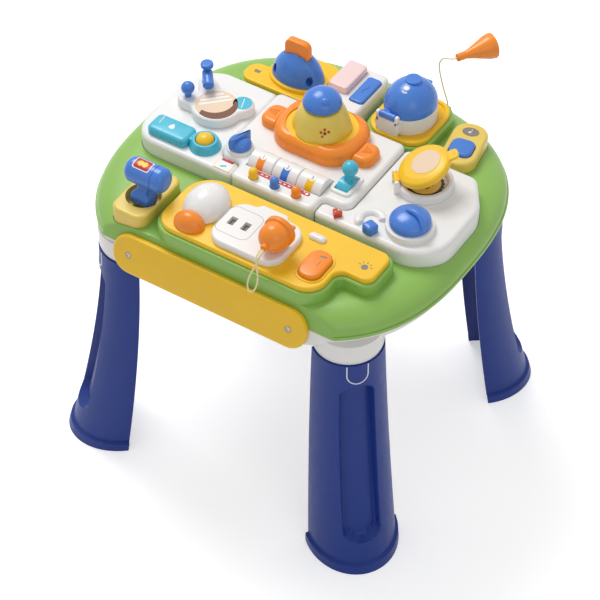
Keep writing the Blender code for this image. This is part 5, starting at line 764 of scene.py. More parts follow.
def latch_highlight(name, bearing):
    """A painted white highlight along the U-shaped latch slot at the head of a leg."""
    spots = [(-LATCH_HALF, 0.0), *arc(-LATCH_HALF, -LATCH_HALF, 0, 180, 24, y=-LATCH_DROP),
             (LATCH_HALF, 0.0)]
    points = []
    for y, below in spots:
        z = SOCKET_MOUTH - GAP - 0.0012 + below
        half = FOOT_HALF + (LEG_COLLAR_HALF - FOOT_HALF) * min(1.0, z / (SOCKET_MOUTH - GAP))
        x = leg_point(y / half, z)[0]
        points.append(Matrix.Rotation(bearing, 3, "Z") @ Vector((x - 0.0002, y, z)))
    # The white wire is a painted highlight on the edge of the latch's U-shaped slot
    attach(wire(name + "_latch_highlight", points, LATCH_WIRE, "white", 3), "table")


# Fascia
FASCIA_LENGTH, FASCIA_HEIGHT, FASCIA_THICK, SCREW_INSET = 0.268, 0.052, 0.0075, 0.023


def make_fascia():
    high = DECK - 0.008 - FASCIA_HEIGHT / 2 * cos(FRONT_LEAN)
    front = -(FRONT_DEPTH + (DECK - high) * tan(FRONT_LEAN)) - 2 * GAP
    place = move(-0.0065, front, high) @ Matrix.Rotation(pi / 2 - FRONT_LEAN, 4, "X")
    panel = prism("fascia_panel", rect(0.0, 0.0, FASCIA_LENGTH, FASCIA_HEIGHT, 0.0235), 0.0,
                  FASCIA_THICK - 0.0006, top=0.0035, crown=0.0006)
    spots = [place @ move(side * (FASCIA_LENGTH / 2 - SCREW_INSET), 0.0, 0.0) for side in (-1, 1)]
    wells = [put(rod(0.0043, FASCIA_THICK - 0.0012, FASCIA_THICK + 0.01, count=32), spot)
             for spot in spots]
    cut(put(panel, place), *wells)
    wear(panel, "yellow", "front_fascia")
    for spot, node in zip(spots, ("fascia_screw_left", "fascia_screw_right")):
        head = turned(node + "_head", [(0.0, 0.0014, 0), (0.0024, 0.0014, 0.0008),
                                       (0.0036, 0.0, 0), (0.0016, 0.0, 0), (0.0016, -0.01, 0),
                                       (0.0, -0.01, 0)], count=32)
        cut(head, *[prism("cross", rect(0.0, 0.0, 0.0042, 0.0008, 0.0002, turn), 0.0006, 0.003)
                    for turn in (0.3, 0.3 + pi / 2)])
        wear(put(head, spot @ move(0.0, 0.0, FASCIA_THICK - 0.0002)), "steel", node)


# Living module
LIGHT_KEY = Vector((0.106, -0.139))
SOCKET = Vector((0.0235, -0.1345))
SUN = Vector((0.153, -0.109))
SLOT_APART, SLOT_DEPTH = 0.00925, 0.0062


def print_on(name, outline, z, look, body="table", thick=0.00012):
    """A thin printed patch on a level surface."""
    patch = prism(name, outline, z - 0.0001, z + thick)
    return wear(patch, look, body=body)


def print_rows(prefix, rows, z, body="table"):
    """Printed patches from rows of name, outline, lift above a level, and look."""
    for name, outline, lift, look in rows:
        print_on(prefix + name, outline, z + lift, look, body=body)


def hoop(name, outline, width, z, look, body="table"):
    """A thin line laid along an outline on a level surface."""
    inner = offset(outline, -width)
    low, high = z - 0.0001, z + 0.0001
    rings = [level(outline, low), level(outline, high), level(inner, high), level(inner, low),
             level(outline, low)]
    return wear(solid(name, rings, caps=False), look, body=body)


def stroke(name, points, radius, look, body):
    """A thin round line through points, for a moulded ridge or a scribed mark."""
    line = [Vector(point) for point in points]
    return wear(worm(name, line, [radius] * len(line), 8), look, body=body)


def stud(name, place, normal, width, height, look, body):
    """A thin oval patch that lies on a curved surface along its normal."""
    patch = lathe(name, [(0.0, 0.00025), (0.9 * width, 0.00025), (width, 0.0), (width, -0.0012),
                         (0.0, -0.0012)], squeeze=height / width, count=28)
    aim(patch, place, normal)
    return wear(patch, look, body=body)


def make_living():
    plate = prism("living_cover", living_outline(), PLINTH + GAP, PLATE, top=0.0025)
    key = rect(*LIGHT_KEY, 0.0285, 0.046, 0.0125)
    join(plate, prism("ring", offset(key, 0.0036), PLATE - 0.001, PLATE + 0.0013, top=0.001))
    cut(plate, prism("pocket", offset(key, 0.0006), PLATE - 0.01, PLATE + 0.01))
    wear(plate, "yellow", "living_plate")
    wear(fill("light_cap", "light_key", key, 0.0006, top=0.003), "orange", "light_key")
    x, y = LIGHT_KEY
    print_rows("light_sign_", (
        ("frame", rect(x + 0.0005, y + 0.001, 0.0085, 0.0095, 0.002), -0.0002, "grey"),
        ("bar", rect(x + 0.003, y + 0.0125, 0.0085, 0.0024, 0.001, 0.25), -0.0002, "grey"),
        ("inner", rect(x + 0.0005, y + 0.001, 0.0065, 0.0075, 0.0014), -0.00005, "orange")),
        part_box("light_key")[1].z, "light_key")
    bulb, foot = (-0.0535, -0.1225, PLATE + GAP), (-0.0535, -0.1585, PLATE + GAP)
    lens = dome("bulb_glass", 0.0265, 0.0255, bulb, squeeze=0.0325 / 0.0265)
    wear(lens, "bulb", "bulb_lens")
    cap = dome("bulb_cap", 0.0195, 0.0175, foot, squeeze=0.015 / 0.0195)
    cut(cap, lathe("room", arc(0.0268, 0.0258, 90, -90, 2 * BALL_ROWS), bulb,
                   squeeze=0.0328 / 0.0268))
    wear(cap, "orange", "bulb_base")
    pill = rect(0.0835, -0.0985, 0.0225, 0.0105, 0.0052)
    wear(fill("pill_glass", "pill_lamp", pill, top=0.0045), "bulb", "pill_lamp")
    print_on("sun_disc", oval(*SUN, 0.0042, 0.0042, 32), PLATE, "grey")
    for index, (x, y) in enumerate(arc(0.0078, 0.0078, 20, 164, 4, *SUN)):
        print_on("sun_ray_" + str(index), rect(x, y, 0.003, 0.0011, 0.0005,
                                               radians(20 + 36 * index)), PLATE, "grey")


def socket_outline():
    x, y = SOCKET
    left, right, front, back = x - 0.048, x + 0.048, y - 0.036, y + 0.036
    tab, tip = 0.0225, -0.0915
    return soften([(left, front, 0.021), (right, front, 0.021), (right, back, 0.021),
                   (tab + 0.022, back, 0.005), (tab + 0.017, tip, 0.005),
                   (tab - 0.017, tip, 0.005), (tab - 0.022, back, 0.005), (left, back, 0.021)])


def make_socket():
    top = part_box("socket_panel")[1].z
    panel = fill("socket_cover", "socket_panel", socket_outline(), top=0.003)
    slots = [(-0.0005 + side * SLOT_APART, -0.134) for side in (-1, 1)]
    cut(panel, *[prism("hole", rect(*slot, 0.0085, 0.0135, 0.0008), top - SLOT_DEPTH, top + 0.01)
                 for slot in slots])
    wear(panel, "white", "socket_panel")
    # The grey line is painted shade standing in for the engraved groove round the slots
    hoop("socket_line", rect(-0.001, -0.133, 0.046, 0.046, 0.01), 0.0007, top, "painted_white_shade")
    for name, slot in zip(("left", "right"), slots):
        # Grey floors at the slots' bottoms: painted shade inside the deep slots
        floor = prism("slot_floor_" + name, rect(*slot, 0.0081, 0.0131, 0.0006), top - SLOT_DEPTH,
                      top - SLOT_DEPTH + 0.0012)
        wear(floor, "grey", body="table")


def make_plug():
    radius, rim, length = 0.0178, 0.0195, 0.036
    profile = soften([(0.0, length, 0), (0.82 * radius, length, 0.003),
                      (0.97 * radius, 0.0335, 0.001), (rim, 0.0335, 0.0016),
                      (rim, 0.0262, 0.0016), (0.95 * radius, 0.0262, 0.001),
                      (radius, 0.0165, 0.006)], closed=False)[:-1]
    profile += arc(radius, radius, 0, -75, 10, y=radius)
    profile += soften([(0.0042, 0.0004, 0), (0.0042, -PLUG_TAIL, 0.0012), (0.0, -PLUG_TAIL, 0)],
                      closed=False)
    plug = aim(lathe("plug_body", profile), (PLUG_X, PLUG_REAR, PLUG_AXIS), (0.0, 1.0, 0.0))
    prong = rect(0.0, 0.0, 0.0062, 0.005, 0.0012)
    join(plug, *[aim(prism("prong", prong, 0.02, length + 0.0085, top=0.0011),
                     (PLUG_X + side * SLOT_APART, PLUG_REAR, PLUG_AXIS), (0.0, 1.0, 0.0))
                 for side in (-1, 1)])
    return wear(plug, "orange", "plug")


# Toggle lever
LEVER = Vector((-0.13, -0.142, 0.392))
LEVER_TILT = radians(-8)
LEVER_HEIGHT = 0.0385


def make_toggle():
    low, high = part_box("toggle_base")
    top = high.z
    base = prism("toggle_cover", toggle_outline(), low.z, top, top=0.004)
    cut(base, turned("dish", [(0.0, top + 0.01, 0), (0.0225, top + 0.01, 0),
                              (0.0215, top, 0.001), (0.0205, top - 0.0155, 0.003),
                              (0.0, top - 0.0155, 0)], (LEVER.x, LEVER.y, 0.0)))
    wear(base, "straw", "toggle_base")
    place = Matrix.Translation(LEVER) @ Matrix.Rotation(LEVER_TILT, 4, "X")
    neck = solid("toggle_stem", [
        level(rect(0.0, 0.0, width, depth, corner), z) for width, depth, corner, z in (
            (0.026, 0.014, 0.003, -0.006), (0.026, 0.022, 0.003, 0.0),
            (0.026, 0.024, 0.003, 0.006), (0.0258, 0.0236, 0.003, 0.0085),
            (0.0245, 0.0215, 0.003, 0.0115), (0.0165, 0.0125, 0.004, 0.0165),
            (0.0155, 0.0118, 0.004, 0.03))])
    radius, half = 0.0158, 0.028
    barrel = turned("toggle_barrel", [
        (0.0, half, 0), (radius, half, 0.0095), (radius, 0.013, 0), (radius - 0.0007, 0.0126, 0),
        (radius - 0.0007, 0.012, 0), (radius, 0.0116, 0), (radius, -half, 0.0105),
        (0.0, -half, 0)])
    put(barrel, place @ move(0.004, 0.0, LEVER_HEIGHT) @ roll(90, "Y"))
    join(put(neck, place), barrel)
    wear(neck, "blue", "toggle_lever")
    badge = [("rim", rect(0.0, 0.0, 0.0232, 0.0176, 0.0028), 0.0001, "paper"),
             ("field", rect(0.0, 0.0, 0.0208, 0.0152, 0.0028), 0.00025, "label"),
             ("dot_0", oval(-0.003, 0.0, 0.0036, 0.0042, 24), 0.0004, "yellow"),
             ("dot_1", oval(0.003, 0.0, 0.0036, 0.0042, 24), 0.0004, "yellow")]
    for name, outline, lift, look in badge:
        patch = put(wrapped("badge_" + name, outline, radius + lift),
                    place @ move(-0.0005, 0.0, LEVER_HEIGHT) @ roll(14, "X"))
        wear(patch, look, body="toggle_lever")


def bend(vertices, radius, shift=0.0):
    """Wrap flat vertices round a cylinder along X."""
    for vertex in vertices:
        angle = (vertex.co.y + shift) / radius
        vertex.co = Vector((vertex.co.x, radius * sin(angle), radius * cos(angle)))


def wrapped(name, outline, radius, thick=0.0003):
    """A patch bent round a cylinder along X; its v coordinate runs round the cylinder."""
    work = bmesh.new()
    corners = [work.verts.new((x, y, 0.0)) for x, y in outline]
    work.faces.new(corners)
    low, high = min(y for x, y in outline), max(y for x, y in outline)
    steps = max(2, ceil((high - low) / radius / radians(7)))
    for step in range(1, steps):
        everything = work.verts[:] + work.edges[:] + work.faces[:]
        bmesh.ops.bisect_plane(work, geom=everything, dist=0.0000001,
                               plane_co=(0.0, low + (high - low) * step / steps, 0.0),
                               plane_no=(0.0, 1.0, 0.0))
    bend(work.verts, radius)
    patch = linked(name, work)
    shell = patch.modifiers.new("Thick", "SOLIDIFY")
    shell.thickness = thick
    shell.offset = -1.0
    return patch


# Left panel
PLAQUE = Vector((-0.138, 0.023))
PLAQUE_TOP = PANEL + GAP + 0.0125
BALL_TAP = Vector((-0.1755, 0.0165))
FAUCET = Vector((-0.1705, 0.051))
SIDE_LOBE = Vector((-0.1125, 0.04))
STICKER = (-0.0765, -0.0525)


def lobed(centre, discs, count=180, soft=4):
    """The farthest reach of several discs seen from a centre, softened."""
    reaches = []
    for a in turns(count):
        ray = Vector((cos(a), sin(a)))
        best = 0.0
        for spot, radius in discs:
            near = (spot - centre).dot(ray)
            inside = radius ** 2 - (spot - centre).length_squared + near * near
            if inside > 0:
                best = max(best, near + sqrt(inside))
        reaches.append(best)
    for again in range(soft):
        reaches = [(reaches[i - 1] + 2 * reaches[i] + reaches[(i + 1) % count]) / 4
                   for i in range(count)]
    return [(centre.x + r * cos(a), centre.y + r * sin(a)) for a, r in zip(turns(count), reaches)]


def make_left():
    panel = prism("left_cover", left_outline(), PANEL - PANEL_DEPTH, PANEL, top=0.0055)
    wear(panel, "white", "left_panel")
    make_plaque()
    make_taps()
    make_bottle()
    print_rows("sticker_", (
        ("rim", rect(*STICKER, 0.0225, 0.0165, 0.0012), 0.0, "yellow"),
        ("field", rect(*STICKER, 0.0212, 0.0152, 0.0008), 0.0001, "paper"),
        ("head", rect(-0.0765, -0.0445, 0.0165, 0.004, 0.0018), 0.0002, "label"),
        ("sign", rect(-0.0765, -0.0545, 0.008, 0.0028, 0.0012, 0.5), 0.0002, "cyan")), PANEL)


def make_plaque():
    discs = [(PLAQUE, 0.0315), (BALL_TAP, 0.0135), (FAUCET, 0.0135), (SIDE_LOBE, 0.0155)]
    plaque = prism("plaque_cover", lobed(PLAQUE, discs, soft=10), PANEL + GAP, PLAQUE_TOP,
                   top=0.004)
    wear(plaque, "white", "face_plaque")
    hub = PLAQUE + Vector((0.001, -0.002))
    crescent = (arc(0.0262, 0.0262, -110, 40, 30, *hub)
                + arc(0.024, 0.024, 28, -98, 30, PLAQUE.x - 0.0055, PLAQUE.y + 0.0045))
    side = SIDE_LOBE + Vector((0.0005, 0.0005))
    bands = [("band_" + str(index), rect(*(hub + Vector((-0.7071, 0.7071)) * across), length,
                                         0.0034, 0.0016, radians(45)), 0.0001, "paper")
             for index, (across, length) in enumerate(((0.0185, 0.026), (0.012, 0.036),
                                                       (0.0055, 0.042)))]
    print_rows("plaque_", (
        ("disc", oval(*hub, 0.0262, 0.0262), 0.0, "skin"),
        ("crescent", crescent, 0.0001, "brown"), *bands,
        ("lobe", oval(*side, 0.0118, 0.0118, 40), 0.0, "cyan"),
        ("stripe", rect(*(SIDE_LOBE + Vector((0.001, 0.0005))), 0.001, 0.017, 0.0004,
                        radians(20)), 0.0001, "paper")), PLAQUE_TOP)


def make_taps():
    ball, middle_height = 0.0084, 0.0125
    profile = arc(ball, ball, 90, -60, 24, y=middle_height)
    profile += [(0.0042, middle_height - ball), (0.0042, -0.007), (0.0, -0.007)]
    wear(lathe("tap_ball_cap", profile, (*BALL_TAP, PLAQUE_TOP)), "blue", "tap_ball")
    faucet = turned("faucet_body", [
        (0.0, 0.0295, 0), (0.008, 0.0295, 0.0022), (0.008, 0.023, 0.0018),
        (0.0048, 0.023, 0.0008), (0.0048, 0.0006, 0.0004), (0.007, 0.0006, 0.0003),
        (0.007, 0.0, 0), (0.0, 0.0, 0)], (*FAUCET, PLAQUE_TOP + GAP))
    spout = turned("spout", [(0.0, 0.024, 0), (0.007, 0.024, 0.003), (0.0066, 0.0, 0.004),
                             (0.0, -0.005, 0)])
    bearing = radians(-52)
    aim(spout, Vector((*FAUCET, PLAQUE_TOP + 0.016)),
        (cos(bearing), sin(bearing), -0.0055 / 0.024))
    join(faucet, spout)
    wear(faucet, "blue", "faucet")


def make_bottle():
    pump = Vector((-0.115, -0.036))
    body = prism("bottle_shell", rect(-0.16, -0.04, 0.056, 0.031, 0.0075), PANEL + GAP,
                 PANEL + GAP + 0.0112, top=0.0048, crown=0.0003)
    collar = turned("collar", [
        (0.0, 0.004, 0), (0.0118, 0.004, 0.0005), (0.0118, 0.0105, 0.0008),
        (0.015, 0.0105, 0.0014), (0.0172, 0.0068, 0.004), (0.0198, 0.0, 0), (0.0, 0.0, 0)],
        (*pump, PANEL + GAP))
    neck = prism("neck", rect(-0.1365, -0.0375, 0.018, 0.0145, 0.0026), PANEL + GAP,
                 PANEL + GAP + 0.0088, top=0.0024)
    merge(body, neck, collar)
    wear(body, "cyan", "bottle_body")
    low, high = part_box("bottle_button")
    cap = dome("pump_cap", 0.0112, 0.0085, (*pump, low.z), 12, high.z - low.z - 0.0085)
    wear(cap, "yellow", "bottle_button")
    z = PANEL + GAP + 0.0114
    for index, (y, length) in enumerate(((-0.0325, 0.0119), (-0.0355, 0.0091), (-0.0385, 0.007))):
        print_on("bottle_line_" + str(index), rect(-0.178 + index * 0.0005, y, 0.0008, length,
                                                   0.0003), z, "paper")
    drop = [(-0.16 + 0.0034 * cos(a) * (1 - 0.45 * sin(a)), -0.0395 + 0.0044 * sin(a))
            for a in turns(32)]
    print_on("bottle_drop", drop, z, "paper")


# Centre block
DRUM_R, DRUM_Y, DRUM_Z = 0.0155, -0.0265, 0.406
PEG_RADIUS, DISC_RISE = 0.0056, 0.0025
RAFT = Vector((-0.003, 0.0475))
FIGURE_RINGS = (
    (1.0, 0.0, 0.7), (1.0, 0.03, 1.0), (1.0, 0.08, 1.0), (0.985, 0.16, 0.85), (0.965, 0.24, 0.6),
    (0.935, 0.34, 0.3), (0.9, 0.46, 0.1), (0.855, 0.59, 0.0), (0.8, 0.72, 0.0),
    (0.745, 0.82, 0.0), (0.695, 0.885, 0.0), (0.66, 0.905, 0.0), (0.58, 0.91, 0.0),
    (0.56, 1.0, 0.0))
PEGS = (("peg_yellow", -0.0332, "yellow"), ("peg_blue", -0.0035, "blue"),
        ("peg_orange", 0.0262, "orange"))
PEG_Y = -0.0555
SELECTOR = Vector((-0.0745, -0.0215))
STICK = Vector((0.0665, -0.0075, 0.4015))


def key_outline(node, slack=0.0):
    """The plan of a rear key, from its node, with room round it where asked."""
    low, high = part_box(node)
    spot = (low + high) / 2
    outline = rect(spot.x, spot.y, high.x - low.x, high.y - low.y, 0.0045)
    return offset(outline, slack) if slack else outline


def make_centre():
    block = prism("centre_cover", centre_outline(), PANEL - PANEL_DEPTH, BLOCK, top=0.0055)
    boss = prism("boss", oval(*SELECTOR, 0.0165, 0.0165), BLOCK - 0.002, BLOCK + 0.004, top=0.0025)
    pad = prism("pad", rect(STICK.x, STICK.y, 0.027, 0.04, 0.006), BLOCK - 0.002,
                BLOCK + 0.003, top=0.0018)
    join(block, boss, pad)
    trough = aim(rod(DRUM_R + 0.0012, -0.0519, 0.0519), (-0.001, DRUM_Y, DRUM_Z), (1.0, 0.0, 0.0))
    throat = prism("throat", rect(STICK.x, STICK.y, 0.0188, 0.0308, 0.002), BLOCK - 0.02,
                   BLOCK + 0.02)
    wells = [prism("well", oval(x, PEG_Y, 0.0062, 0.0062, 40), BLOCK - 0.01, BLOCK + 0.01)
             for node, x, look in PEGS]
    wells += [prism("well", key_outline(node, 0.0006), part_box(node)[0].z - 0.003, BLOCK + 0.01)
              for node in ("pink_key", "blue_key")]
    cut(block, trough, throat, *wells)
    wear(block, "white", "centre_block")
    for node, x, look in PEGS:
        low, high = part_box(node)
        cap = dome(node + "_cap", PEG_RADIUS, PEG_RADIUS, (x, PEG_Y, low.z), 12,
                   high.z - low.z - PEG_RADIUS, count=40)
        wear(cap, look, node)
    place = (*SELECTOR, BLOCK + 0.004 + GAP)
    knob = dome("selector_dome", 0.014, 0.0095, place, 14, 0.003)
    fin = prism("fin", [(0.016 * cos(a), 0.0034 * sin(a) * (1.0 - 0.35 * cos(a)))
                        for a in turns(40)], 0.002, 0.0165, top=0.0018)
    fin.location = place
    fin.rotation_euler = (0.0, 0.0, radians(70))
    join(knob, fin)
    wear(knob, "blue", "selector_knob")
    make_label()


def make_label():
    """A red strip with plain beads between the drums and the pegs."""
    y = -0.0466
    print_on("label_field", rect(-0.0015, y, 0.083, 0.0062, 0.0031), BLOCK, "label")
    marks = [("spot_0", oval(-0.0385, y, 0.0019, 0.0019, 24)),
             ("dot_0", oval(-0.0345, -0.0452, 0.0009, 0.0009, 16)),
             ("spot_1", oval(0.0355, y, 0.0019, 0.0019, 24)),
             ("dot_1", oval(0.0315, -0.0452, 0.0009, 0.0009, 16))]
    marks += [("bead_" + str(index), rect(-0.0265 + index * 0.00625, y, 0.0034, 0.0016, 0.0007))
              for index in range(9)]
    for name, outline in marks:
        print_on("label_" + name, outline, BLOCK + 0.0001, "paper")


def make_drums():
    for index, look in enumerate(("orange", "blue", "yellow")):
        node = "number_drum_" + str(index + 1)
        low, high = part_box(node)
        x = ((low + high) / 2).x
        drum = barrel(node + "_shell", DRUM_R, (high - low).x / 2, 0.0018)
        wear(aim(drum, (x, DRUM_Y, DRUM_Z), (1.0, 0.0, 0.0)), "white", node)
        for turn in range(3):
            place = move(x, DRUM_Y, DRUM_Z) @ roll(22 + 120 * turn, "X")
            tag = str(index) + "_" + str(turn)
            band = wrapped("band_" + tag, rect(0.0, -0.006, 0.0095, 0.019, 0.0004),
                           DRUM_R + 0.0001)
            disc = wrapped("disc_" + tag, oval(0.0, DISC_RISE, 0.0043, 0.0043, 32),
                           DRUM_R + 0.00025)
            digit = numeral("digit_" + tag, str(index + 1), DRUM_R + 0.0004)
            for piece, paint in ((band, look), (disc, "paper"), (digit, "black")):
                wear(put(piece, place), paint, body=node)


def numeral(name, text, radius):
    """A plain printed numeral bent round a drum."""
    curve = bpy.data.curves.new(name, "FONT")
    curve.body = text
    curve.size = 0.0066
    curve.align_x = "CENTER"
    curve.align_y = "CENTER"
    guide = placed(name + "_guide", curve)
    flat = evaluated(guide)
    bpy.data.objects.remove(guide)
    bend(flat.vertices, radius, DISC_RISE)
    return placed(name, flat)


def make_stick():
    foot = aim(barrel("stick_shell", 0.015, 0.009, 0.001), STICK, (1.0, 0.0, 0.0))
    profile = arc(0.0098, 0.0098, 90, -45, 24, y=0.03)
    profile += soften([(0.0058, 0.0215, 0), (0.0052, 0.015, 0.004), (0.0075, 0.0085, 0.004),
                       (0.0095, 0.004, 0)], closed=False) + [(0.0, 0.004)]
    join(foot, put(lathe("stem", profile), Matrix.Translation(STICK) @ roll(-12, "X")))
    wear(foot, "cyan", "joystick")


def pool_outline(slack):
    return lobed(RAFT, [(RAFT, 0.0385 - slack), (RAFT + Vector((0.01, 0.004)), 0.034 - slack),
                        (RAFT + Vector((-0.01, -0.002)), 0.034 - slack)])


def make_raft():
    low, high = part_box("raft")
    outline = rect(*RAFT, 0.112, 0.087, 0.034)
    raft = prism("raft_shell", outline, low.z, high.z, top=0.011)
    cut(raft, prism("pool", pool_outline(0.0), high.z - 0.0025, high.z + 0.01))
    wear(raft, "orange", "raft")
    floor = prism("raft_pool", pool_outline(0.0002), high.z - 0.0027, high.z - 0.0018)
    wear(floor, "yellow", body="table")
    for node, side in (("raft_key_left", -1), ("raft_key_right", 1)):
        low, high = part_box(node)
        key = prism(node + "_shell", rect(RAFT.x + side * 0.056, 0.0435, 0.044, 0.036, 0.013),
                    low.z, high.z, top=0.0065)
        cut(key, prism("hull", offset(outline, 0.0004), low.z - 0.01, high.z + 0.02))
        wear(key, "orange", node)
        for index in range(4):
            x = RAFT.x + side * (0.0615 + 0.0028 * index)
            half = 0.0062 - 0.0011 * index
            # The ridge lines' darker orange is painted shade along the moulded ridges
            stroke("raft_ridge_" + str(2 * index + (side + 1) // 2),
                   [(x + side * 0.0012 * cos(0.5 * pi * k), 0.0445 + half * k, high.z + 0.0001)
                    for k in (-1.0, -0.5, 0.0, 0.5, 1.0)], 0.0004, "painted_orange_shade", node)


def make_figure():
    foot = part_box("dome_figure")[0].z
    rings = []
    for share, z, swell in FIGURE_RINGS:
        ring = []
        for a in turns(96):
            wave = abs(sin(3.0 * (a + radians(12)))) ** 0.7
            reach = 0.0345 * share + 0.0018 * swell * (2 * wave - 1)
            ring.append((RAFT.x + reach * cos(a), RAFT.y + reach * sin(a), foot + 0.036 * z))
        rings.append(ring)
    wear(solid("figure_shell", rings), "lemon", "dome_figure")
    lean = radians(16)
    petals = [(x, y, 0.0017, "red") for x, y in arc(0.0048, 0.0048, 90, 450, 5)[:-1]]
    for index, (along, up, width, look) in enumerate([(0.0, 0.0, 0.0019, "brown"), *petals]):
        turn = radians(-52) + along / 0.031
        z = 0.015 + up
        reach = 0.0328 - 0.26 * (z - 0.011)
        stud("figure_flower_" + str(index),
             (RAFT.x + reach * cos(turn), RAFT.y + reach * sin(turn), foot + z),
             (cos(turn) * cos(lean), sin(turn) * cos(lean), sin(lean)), width, 1.15 * width, look,
             BODY_OF["dome_figure"])
    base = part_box("dome_cap")[1].z - 0.0185
    radius, rise = 0.0236, 0.0183
    cap = lathe("figure_cap", arc(radius, rise, 90, 0, 18) + [
        (radius - 0.0002, -0.0006), (0.0206, -0.0006), (0.0206, 0.0032), (0.0, 0.0032)],
        (*RAFT, base))
    nub = lathe("nub", arc(0.0062, 0.0062, 90, -90, 24))
    join(cap, aim(nub, (RAFT.x + 0.0095, RAFT.y - 0.0095, base + 0.0108), (0.2, -0.2, 1.0)))
    wear(cap, "blue", "dome_cap")


# Right panel
CUP = Vector((0.141, 0.045))
SPINNER = (0.1635, -0.0265)
RING_RISE = 0.0085
TUBE_STEPS = 40
CUP_BEARING = radians(218)
TUBE, HEART, CORNER = (0.1195, -0.04), (0.0815, -0.054), (0.1275, -0.0555)
HEART_SCALE = 0.0062
LID_OPEN = radians(24)
CUP_FLOOR, CUP_RISE, CUP_HINGE = 0.0025, 0.011, 0.0345
LID_PIN, LID_HALF, LID_EAR = 0.0032, 0.0085, 0.003


def make_right():
    panel = prism("right_cover", right_outline(), PANEL - PANEL_DEPTH, PANEL, top=0.0065)
    points = [Vector((x, y, PANEL - 0.0012))
              for x, y in arc(0.0145, 0.0145, 30, 242, TUBE_STEPS, *TUBE)]
    left = [(TUBE_STEPS - step) / TUBE_STEPS * 10 for step in range(TUBE_STEPS + 1)]
    radii = [0.0062 * (min(1.0, sqrt(max(0.02, rest * (2 - rest)))) if rest < 1 else 1.0)
             for rest in left]
    ring = prism("ring", oval(*SPINNER, 0.029, 0.029), PANEL - 0.001, PANEL + RING_RISE,
                 top=0.0022)
    join(panel, worm("tube", points, radii), ring)
    wear(panel, "white", "right_panel")
    line = []
    for t in turns(60):
        line.append((HEART[0] - HEART_SCALE * sin(t) ** 3,
                     HEART[1] + HEART_SCALE / 16 * (13 * cos(t) - 5 * cos(2 * t) - 2 * cos(3 * t)
                                             - cos(4 * t))))
    wear(fill("heart_cap", "heart_button", line, 0.0012), "red", "heart_button")
    knob = prism("corner_cap", rect(*CORNER, 0.0155, 0.0155, 0.0042, radians(-20)),
                 PANEL + GAP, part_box("corner_knob")[1].z - 0.0003, top=0.0035, crown=0.0003)
    wear(knob, "blue", "corner_knob")
    make_spinner()
    make_cup()


def worm(name, points, radii, count=24):
    rings = []
    last = len(points) - 1
    for index, point in enumerate(points):
        ahead = points[min(index + 1, last)] - points[max(index - 1, 0)]
        turn = ahead.to_track_quat("Z", "Y")
        rings.append([point + turn @ Vector((radii[index] * cos(a), radii[index] * sin(a), 0.0))
                      for a in turns(count)])
    return solid(name, rings)


def make_spinner():
    base = PANEL + RING_RISE + GAP
    x, y = SPINNER
    radius, rise, side = 0.0245, 0.0155, 0.0035
    cap = dome("spinner_dome", radius, rise - side, (x, y, base), 18, side)
    bearing = radians(-24)
    route = ((-0.3, -0.001, 0.9, 0.35), (-0.22, -0.001, 1.02, 0.85), (0.05, 0.002, 1.12, 1.0),
             (0.35, 0.004, 1.1, 1.05), (0.62, 0.004, 0.98, 1.1), (0.84, 0.0025, 0.76, 1.1),
             (0.95, 0.001, 0.5, 1.05), (0.97, 0.0, 0.34, 0.8))
    spine = [Vector((x + radius * s * cos(bearing) - bow * sin(bearing),
                     y + radius * s * sin(bearing) + bow * cos(bearing), base + rise * up))
             for s, bow, up, swell in route]
    swells = [entry[3] for entry in route]
    radii = []
    for index in range(40):
        spot = index / 39 * (len(swells) - 1)
        first = min(int(spot), len(swells) - 2)
        mix = spot - first
        radii.append(0.0035 * (swells[first] * (1 - mix) + swells[first + 1] * mix))
    join(cap, worm("ridge", through(spine, 40), radii))
    wear(cap, "blue", "spinner")


def make_cup():
    seat = PANEL + GAP
    cup = turned("cup_shell", [
        (0.0, CUP_FLOOR, 0), (0.0265, CUP_FLOOR, 0.0005), (0.0265, 0.0085, 0.0008),
        (0.029, CUP_RISE, 0.001), (0.034, CUP_RISE, 0.0028), (0.034, 0.0, 0), (0.0, 0.0, 0)],
        (*CUP, seat))
    hinge = Vector((CUP.x + CUP_HINGE * cos(CUP_BEARING), CUP.y + CUP_HINGE * sin(CUP_BEARING),
                    seat + CUP_RISE + LID_PIN + GAP))
    place = Matrix.Translation(hinge) @ Matrix.Rotation(CUP_BEARING - pi, 4, "Z")
    side = ear_outline(LID_PIN, seat - hinge.z)
    join(cup, *[put(prism("ear", side, 0.0, LID_EAR), place @ move(0.0, start, 0.0)
                    @ roll(90, "X")) for start in (-LID_HALF - GAP, LID_HALF + GAP + LID_EAR)])
    wear(cup, "white", "cup_ring")
    print_cup(seat + CUP_FLOOR)
    make_lid(place @ Matrix.Rotation(-LID_OPEN, 4, "Y"))


def print_cup(floor):
    """A dark ruffle round a yellow disc with a plain flower."""
    ring = []
    for a in turns(192):
        reach = 0.0225 + 0.0009 * cos(24 * a)
        ring.append((CUP.x + reach * cos(a), CUP.y + reach * sin(a)))
    petal = 0.0036
    prints = [("ruffle", ring, 0.0, "black", 0.001),
              ("disc", oval(*CUP, 0.0192, 0.0192), 0.001, "straw", 0.0005)]
    for index, a in enumerate(turns(6)):
        spot = CUP + Vector((cos(a + 0.3), sin(a + 0.3))) * 0.0075
        prints.append(("petal_" + str(index), oval(*spot, petal, petal, 24), 0.0015, "red",
                       0.0003))
    prints.append(("heart", oval(*CUP, petal, petal, 24), 0.0015, "yellow", 0.0004))
    for name, outline, lift, look, thick in prints:
        print_on("cup_" + name, outline, floor + lift, look, thick=thick)


